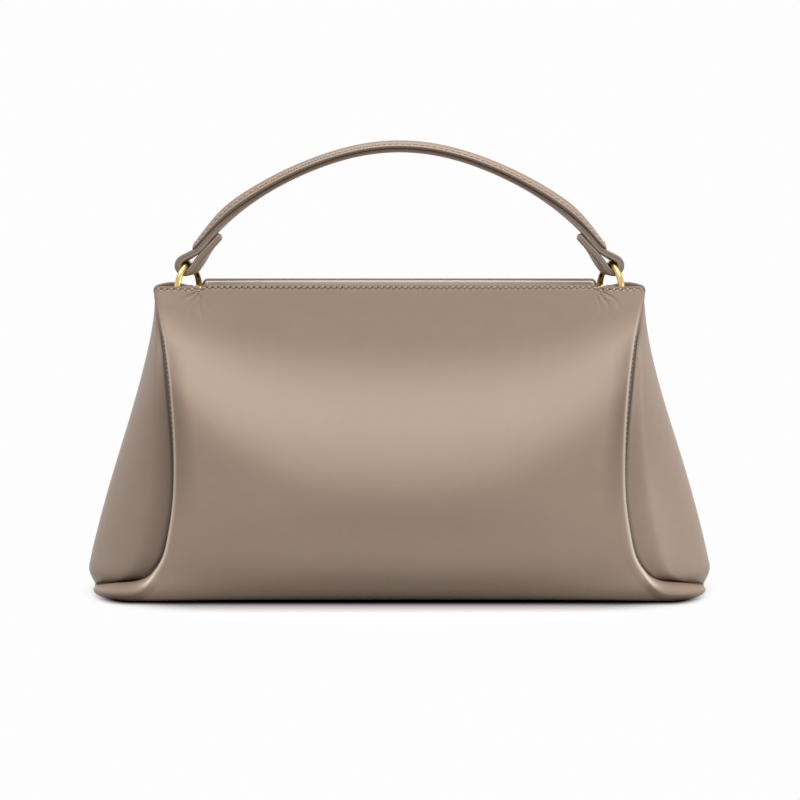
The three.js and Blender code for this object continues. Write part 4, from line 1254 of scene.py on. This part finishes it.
# %% Stitch tree
def stitch_tree():
    tree = bpy.data.node_groups.new("stitch_row", "GeometryNodeTree")
    face = tree.interface
    face.new_socket("Line", in_out="INPUT", socket_type="NodeSocketGeometry")
    for size in ("Pitch", "Length", "Width", "Tilt"):
        face.new_socket(size, in_out="INPUT", socket_type="NodeSocketFloat")
    face.new_socket("Thread", in_out="INPUT", socket_type="NodeSocketMaterial")
    face.new_socket("Stitches", in_out="OUTPUT", socket_type="NodeSocketGeometry")

    def add(kind, settings=None, **sockets):
        return add_node(tree, kind, settings, spaced(sockets)).outputs

    given = add("NodeGroupInput")
    curve = add("GeometryNodeMeshToCurve", Mesh=given["Line"])[0]
    cut = add("GeometryNodeResampleCurve", {"mode": "LENGTH"}, Curve=curve, Length=given["Pitch"])[0]
    up = add("GeometryNodeInputNamedAttribute", {"data_type": "FLOAT_VECTOR"}, Name="up")[0]
    along = add("GeometryNodeInputTangent")[0]
    axes = {"primary_axis": "X", "secondary_axis": "Z"}
    turn = add("FunctionNodeAxesToRotation", axes, Primary_Axis=along, Secondary_Axis=up)[0]
    tilt = add("ShaderNodeCombineXYZ", Z=given["Tilt"])[0]
    lean = add("FunctionNodeEulerToRotation", Euler=tilt)[0]
    local = {"rotation_space": "LOCAL"}
    leaning = add("FunctionNodeRotateRotation", local, Rotation=turn, Rotate_By=lean)[0]
    bead = add("GeometryNodeMeshUVSphere", Segments=8, Rings=6, Radius=0.5)[0]
    sizes = add("ShaderNodeCombineXYZ", X=given["Length"], Y=given["Width"], Z=given["Width"])[0]
    row = add("GeometryNodeInstanceOnPoints", Points=cut, Instance=bead, Rotation=leaning, Scale=sizes)[0]
    solid = add("GeometryNodeRealizeInstances", Geometry=row)[0]
    rounded = add("GeometryNodeSetShadeSmooth", Geometry=solid)[0]
    done = add("GeometryNodeSetMaterial", Geometry=rounded, Material=given["Thread"])[0]
    add("NodeGroupOutput", Stitches=done)
    return tree


STITCHES = stitch_tree()
STAND_PROUD, HOLE_SINK = 0.25, 0.32
HOLE_SHARE, HOLE_WIDE = 0.85, 1.15


def line_mesh(name, lines):
    """Lines as one mesh of edges; each line is its points and their up vectors, in millimetres."""
    points, ups, edges = [], [], []
    for line, up in lines:
        edges += [(len(points) + k, len(points) + k + 1) for k in range(len(line) - 1)]
        points += (np.asarray(line) * MM).tolist()
        ups += unit(np.asarray(up, float)).tolist()
    mesh = bpy.data.meshes.new(name)
    mesh.from_pydata(points, edges, [])
    mesh.attributes.new("up", "FLOAT_VECTOR", "POINT").data.foreach_set("vector", np.ravel(ups))
    return mesh


def sew(name, lines, body, slot, material, stitch, tilt=0.0):
    row = linked(name, line_mesh(name, lines), material)
    nodes = row.modifiers.new("stitches", "NODES")
    nodes.node_group = STITCHES
    pitch, length, width = (size * MM for size in stitch)
    values = {"Pitch": pitch, "Length": length, "Width": width, "Tilt": tilt, "Thread": material}
    for item in STITCHES.interface.items_tree:
        if item.in_out == "INPUT" and item.name in values:
            nodes[item.identifier] = values[item.name]
    attach(settled_mesh(row), body, slot)


def shifted(lines, distance, sink):
    """Lines that start a little later and lie a little deeper, for the holes between stitches."""
    moved = []
    for line, up in lines:
        run = run_along(line)
        keep = np.linspace(distance, run[-1], max(8, len(line)))
        ups = read_off(keep, run, up)
        moved.append((read_off(keep, run, line) - unit(ups) * sink, ups))
    return moved


def sew_row(name, lines, body, slot, stitch, tilt=0.0):
    """Stitches that stand a little proud of lines on the leather, and sunken dark beads between them,
    painted shade for the needle holes.
    """
    pitch, length, width = stitch
    hole = (pitch, pitch - length * HOLE_SHARE, width * HOLE_WIDE)
    proud, sunken = shifted(lines, 0, -STAND_PROUD * width), shifted(lines, pitch / 2, HOLE_SINK * width)
    sew(f"{name}_stitches", proud, body, slot, seam_thread, stitch, tilt)
    sew(f"{name}_holes", sunken, body, slot, dark_thread_and_hole_shade, hole, tilt)


def turned(lines, way):
    return [(line * way, up * way) for line, up in lines]


# %% Rim stitches
FOLD_ROWS = len(HEM_ROWS) + FOLD_STEPS
TURNS = {"front": np.ones(3), "rear": np.array(HALF_TURN)}
RIM_STITCH, RIM_TILT = (3.3, 2.0, 0.95), 0.2
RIM_MARGIN, NOTCH_MARGIN, LAST_SEWN = 2.2, 1.2, 2.6


def below_rim(grid, drop):
    """The line that lies a given way down from the fold, with the leather's normals."""
    face = grid[FOLD_ROWS - 1 :]
    normals = grid_normals(face)
    steps = np.linalg.norm(np.diff(face, axis=0), axis=-1)
    run = np.concatenate([np.zeros((1, face.shape[1])), np.cumsum(steps, axis=0)])

    def at_drop(part):
        return np.array([read_off([drop], run[:, k], part[:, k])[0] for k in range(part.shape[1])])

    return at_drop(face), at_drop(normals)


def rim_lines(grid):
    points, ups = below_rim(grid, STITCH_DROP)
    x = points[:, 0]
    aside = MOUTH_LENGTH / 2 - RIM_MARGIN
    inner, outer = FACING_END - NOTCH_MARGIN, FACING_END + NOTCH_MARGIN
    lines = []
    for low, high in ((-aside, -outer), (-inner, inner), (outer, aside)):
        chosen = (x > low) & (x < high) & (np.abs(PANEL_COLUMNS) < LAST_SEWN)
        lines.append((points[chosen], ups[chosen]))
    return lines


for name, grid in (("front", front_grid), ("rear", rear_grid * HALF_TURN)):
    rows = turned(rim_lines(grid), TURNS[name])
    sew_row(f"{name}_rim", rows, "bag", "body_leather", RIM_STITCH, RIM_TILT)

# %% Handle stitches
COVER_STITCH, RETURN_STITCH = (3.56, 2.4, 0.85), (3.0, 2.0, 0.65)
COVER_MARGIN, END_MARGIN, END_SINK = 4.0, 3.2, 0.15
RETURN_ASIDE, RETURN_MARGIN, RETURN_SINK = 2.6, 1.8, 0.35
ROW_POINTS = 9


def cover_line(side):
    """One row of the cover's stitches; side is 1 for the front row and -1 for the rear one."""
    chosen = FROM_APEX[on_cover] < NECK_RUN - COVER_MARGIN
    height = (dome(STITCH_ASIDE) * COVER_SWELL)[:, None]
    line = COVER_PATH + COVER_WIDE * side * STITCH_ASIDE + COVER_UP * height
    return line[chosen], (COVER_UP * 0.7 + COVER_WIDE * side * 0.7)[chosen]


def cover_end(side):
    """A short row across the cover near one of its ends."""
    other_half = COVER_PATH[:, 0] * side < 0
    k = int(np.argmin(np.abs(FROM_APEX[on_cover] - NECK_RUN + END_MARGIN) + 1e3 * other_half))
    asides = np.linspace(-STITCH_ASIDE, STITCH_ASIDE, ROW_POINTS)
    heights = (dome(np.abs(asides)) * COVER_SWELL[k] - END_SINK)[:, None]
    line = COVER_PATH[k] + COVER_WIDE[k] * asides[:, None] + COVER_UP[k] * heights
    return line, np.tile(COVER_UP[k], (ROW_POINTS, 1))


def return_tab_lines(side):
    """Two rows along the outer face of a return tab and one across its end."""
    from_end = FROM_APEX[0] - FROM_APEX
    on_tab = (from_end < TAB_LENGTH) & (from_end > RETURN_MARGIN) & (STRAP_PATH[:, 0] * side > 0)
    face = STRAP_PATH[on_tab] + STRAP_UP[on_tab] * (RETURN_PLY / 2 - RETURN_SINK)
    wide, up = STRAP_WIDE[on_tab], STRAP_UP[on_tab]
    last = int(np.argmax(FROM_APEX[on_tab]))
    across = face[last] + wide[last] * np.linspace(-RETURN_ASIDE, RETURN_ASIDE, ROW_POINTS)[:, None]
    rows = [(face + wide * aside, up) for aside in (-RETURN_ASIDE, RETURN_ASIDE)]
    return [*rows, (across, np.tile(up[last], (ROW_POINTS, 1)))]


cover_rows = [cover_line(1), cover_line(-1), cover_end(1), cover_end(-1)]
sew_row("cover", cover_rows, "handle", "trim_leather", COVER_STITCH)
tab_rows = return_tab_lines(1) + return_tab_lines(-1)
sew_row("return_tab", tab_rows, "handle", "trim_leather", RETURN_STITCH)

# %% Seam and facing stitches
SEAM_MARK, FACING_STITCH = (2.9, 1.8, 0.65), (3.0, 2.1, 0.75)
SEAM_COLUMN, SEAM_ROWS = 2.7, (1.2, 4.15)
FACING_MARGIN = 2.3
UPRIGHT_ROWS, LOWER_ROW, LOWER_COLUMNS = slice(1, 14), -4, slice(3, -3)


def seam_lines(grid):
    """The rows of needle marks in the ditches on both sides of a panel."""
    face = grid[FOLD_ROWS - 1 :]
    normals = grid_normals(face)
    rows = np.flatnonzero((PANEL_ROWS > SEAM_ROWS[0]) & (PANEL_ROWS < SEAM_ROWS[1]))
    columns = [int(np.argmin(np.abs(PANEL_COLUMNS - side * SEAM_COLUMN))) for side in (-1, 1)]
    return [(face[rows, k], normals[rows, k]) for k in columns]


def facing_lines(grid):
    """A short upright row at each end of a facing and a long one along its lower edge."""
    face = grid[-len(FACING_ROWS) :]
    normals = grid_normals(face)
    lines = []
    for side in (-1, 1):
        k = int(np.argmin(np.abs(face[0, :, 0] - side * (FACING_END - FACING_MARGIN))))
        lines.append((face[UPRIGHT_ROWS, k], normals[UPRIGHT_ROWS, k]))
    lines.append((face[LOWER_ROW, LOWER_COLUMNS], normals[LOWER_ROW, LOWER_COLUMNS]))
    return lines


for name, panel in (("front", front_grid), ("rear", rear_grid * HALF_TURN)):
    marks = turned(seam_lines(panel), TURNS[name])
    sew(f"{name}_seam_marks", marks, "bag", "body_leather", dark_thread_and_hole_shade, SEAM_MARK)
    rows = turned(facing_lines(front_facing), TURNS[name])
    sew_row(f"{name}_facing", rows, "bag", "trim_leather", FACING_STITCH)

# %% [markdown]
# ## Studio
# The photograph is a catalogue shot: a white sweep, one wide soft light above and in front of the bag, pale
# fill from the sides, and a long lens a few degrees above the horizon. The floor near the bag is diffuse
# white, so that it keeps the bag's shadow, with a painted warm shadow beside the base and a painted dark
# line at its edge, for the shade where hardly any light gets in. Further out it shows the camera the same
# white as the background.

# %% Floor and background
FLOOR_WHITE, FLOOR_BOUNCE = 0.92, 0.35
BACKGROUND, AMBIENT = 0.985, 0.61
SHADOW_REACH, SHADOW_FADES = (0.170, 0.16), (0.84, 1.1)
# Sizes and colour of the shadow painted on the floor round the base, and of its dark line.
CONTACT_HALF, CONTACT_SHAPE = (0.157, 0.064, 1), (2.6, 1, 1)
CONTACT_REACH, CONTACT_DARK = 0.06, 0.1
PAINTED_SHADOW_TINT = (0.06, 0.035, 0.02, 1)
CORE_HALF, CORE_SHAPE = (0.150, 0.045, 1), (1.5, 1, 1)
CORE_REACH = (0.016, 0.037)
FLOOR_HALF = 6000
RAYS_SEEN = ("Is Camera Ray", "Is Glossy Ray", "Is Transmission Ray")


def grey(level):
    return (level, level, level, 1)


def seen_directly(finish):
    rays = finish.tree.nodes.new("ShaderNodeLightPath")
    camera, glossy, clear = (Shade(finish, rays.outputs[kind]) for kind in RAYS_SEEN)
    return finish.node("ShaderNodeClamp", None, {"Value": camera + glossy + clear})


def paper(finish, colour):
    return finish.node("ShaderNodeBsdfDiffuse", None, {"Color": colour})


def past_base(finish, half, shape):
    """How far a point of the paper lies outside a rectangle about the origin."""
    aside = finish.vector_maths("ABSOLUTE", finish.place())
    past = finish.vector_maths("MAXIMUM", finish.vector_maths("SUBTRACT", aside, half))
    return finish.length(finish.stretched(past, shape))


def shaded_paper(finish, clear):
    """White paper with a painted soft warm shadow beside the base and a painted crisp dark line where the
    base meets it.
    """
    past = past_base(finish, CONTACT_HALF, CONTACT_SHAPE)
    # Painted shadow: soft and warm round the base, darkest next to it.
    soft = finish.ramped(past, 0.0, CONTACT_REACH, CONTACT_DARK, "LINEAR")
    painted_shadow = finish.mix(soft, PAINTED_SHADOW_TINT, grey(FLOOR_WHITE))
    return paper(finish, finish.mix(clear, grey(0), painted_shadow))


def sweep_floor():
    """White paper with a painted shadow to the eye; a dim bounce, as if dark cards lay round the bag; plain
    white further out.
    """
    finish = Finish("sweep_floor")
    seen = seen_directly(finish)
    place = finish.stretched(finish.place(), (1 / SHADOW_REACH[0], 1 / SHADOW_REACH[1], 0.0))
    far = finish.ramped(finish.length(place), *SHADOW_FADES)
    # Painted shadow: a crisp dark line under the base's edge, 0 there and 1 clear of it.
    clear = finish.ramped(past_base(finish, CORE_HALF, CORE_SHAPE), *CORE_REACH)
    near = finish.blend(seen, paper(finish, grey(FLOOR_BOUNCE)), shaded_paper(finish, clear))
    glow = finish.node("ShaderNodeEmission", None, {"Color": grey(1), "Strength": BACKGROUND})
    shown = finish.blend(far * clear * seen, near, glow)
    finish.node("ShaderNodeOutputMaterial", None, {"Surface": shown})
    return finish.owner


def studio_world():
    finish = Finish("studio_world", bpy.data.worlds)
    soft, white = (
        finish.node("ShaderNodeBackground", None, {"Color": grey(1), "Strength": strength})
        for strength in (AMBIENT, BACKGROUND)
    )
    both = finish.blend(seen_directly(finish), soft, white)
    finish.node("ShaderNodeOutputWorld", None, {"Surface": both})
    return finish.owner


corners = np.array([[[-1, 1, 0], [1, 1, 0]], [[-1, -1, 0], [1, -1, 0]]], float)
laid("studio_floor", corners * FLOOR_HALF, sweep_floor())
bpy.context.scene.world = studio_world()
print("floor and background ready")


# %% Lights
def soft_light(name, place, aim, size, power):
    """A rectangular lamp: its place, aim and size in metres and its power in watts."""
    lamp = bpy.data.lights.new(name, "AREA")
    lamp.shape = "RECTANGLE"
    lamp.size, lamp.size_y = size
    lamp.energy = power
    thing = bpy.data.objects.new(name, lamp)
    way = Vector(aim) - Vector(place)
    thing.location = place
    thing.rotation_euler = way.to_track_quat("-Z", "Y").to_euler()
    bpy.context.scene.collection.objects.link(thing)
    print("light:", name, power, "W")


soft_light("key_light", (0, -0.38, 1.7), (0, -0.04, 0.08), (1.5, 0.8), 24)
soft_light("left_fill", (-1.7, -0.5, 0.35), (0, 0, 0.1), (0.5, 1.0), 1)
soft_light("right_fill", (1.7, -0.5, 0.35), (0, 0, 0.1), (0.5, 1.0), 10)

# %% Camera
PIXEL, IMAGE_WIDTH = 0.565, 800
ELEVATION = math.radians(6)
DISTANCE, FARTHEST = 10.0, 60
TARGET = Vector((0.0003, 0, 0.1078))
view = Vector((0, math.cos(ELEVATION), -math.sin(ELEVATION)))
lens = bpy.data.cameras.new("photo_camera")
lens.sensor_width = 36
lens.lens = lens.sensor_width * DISTANCE / (IMAGE_WIDTH * PIXEL * MM)
lens.clip_end = FARTHEST
camera = bpy.data.objects.new("photo_camera", lens)
camera.location = TARGET - view * DISTANCE
camera.rotation_euler = view.to_track_quat("-Z", "Y").to_euler()
bpy.context.scene.collection.objects.link(camera)
bpy.context.scene.camera = camera
bpy.context.scene.view_settings.view_transform = "Standard"
print("camera at", [round(value, 3) for value in camera.location])
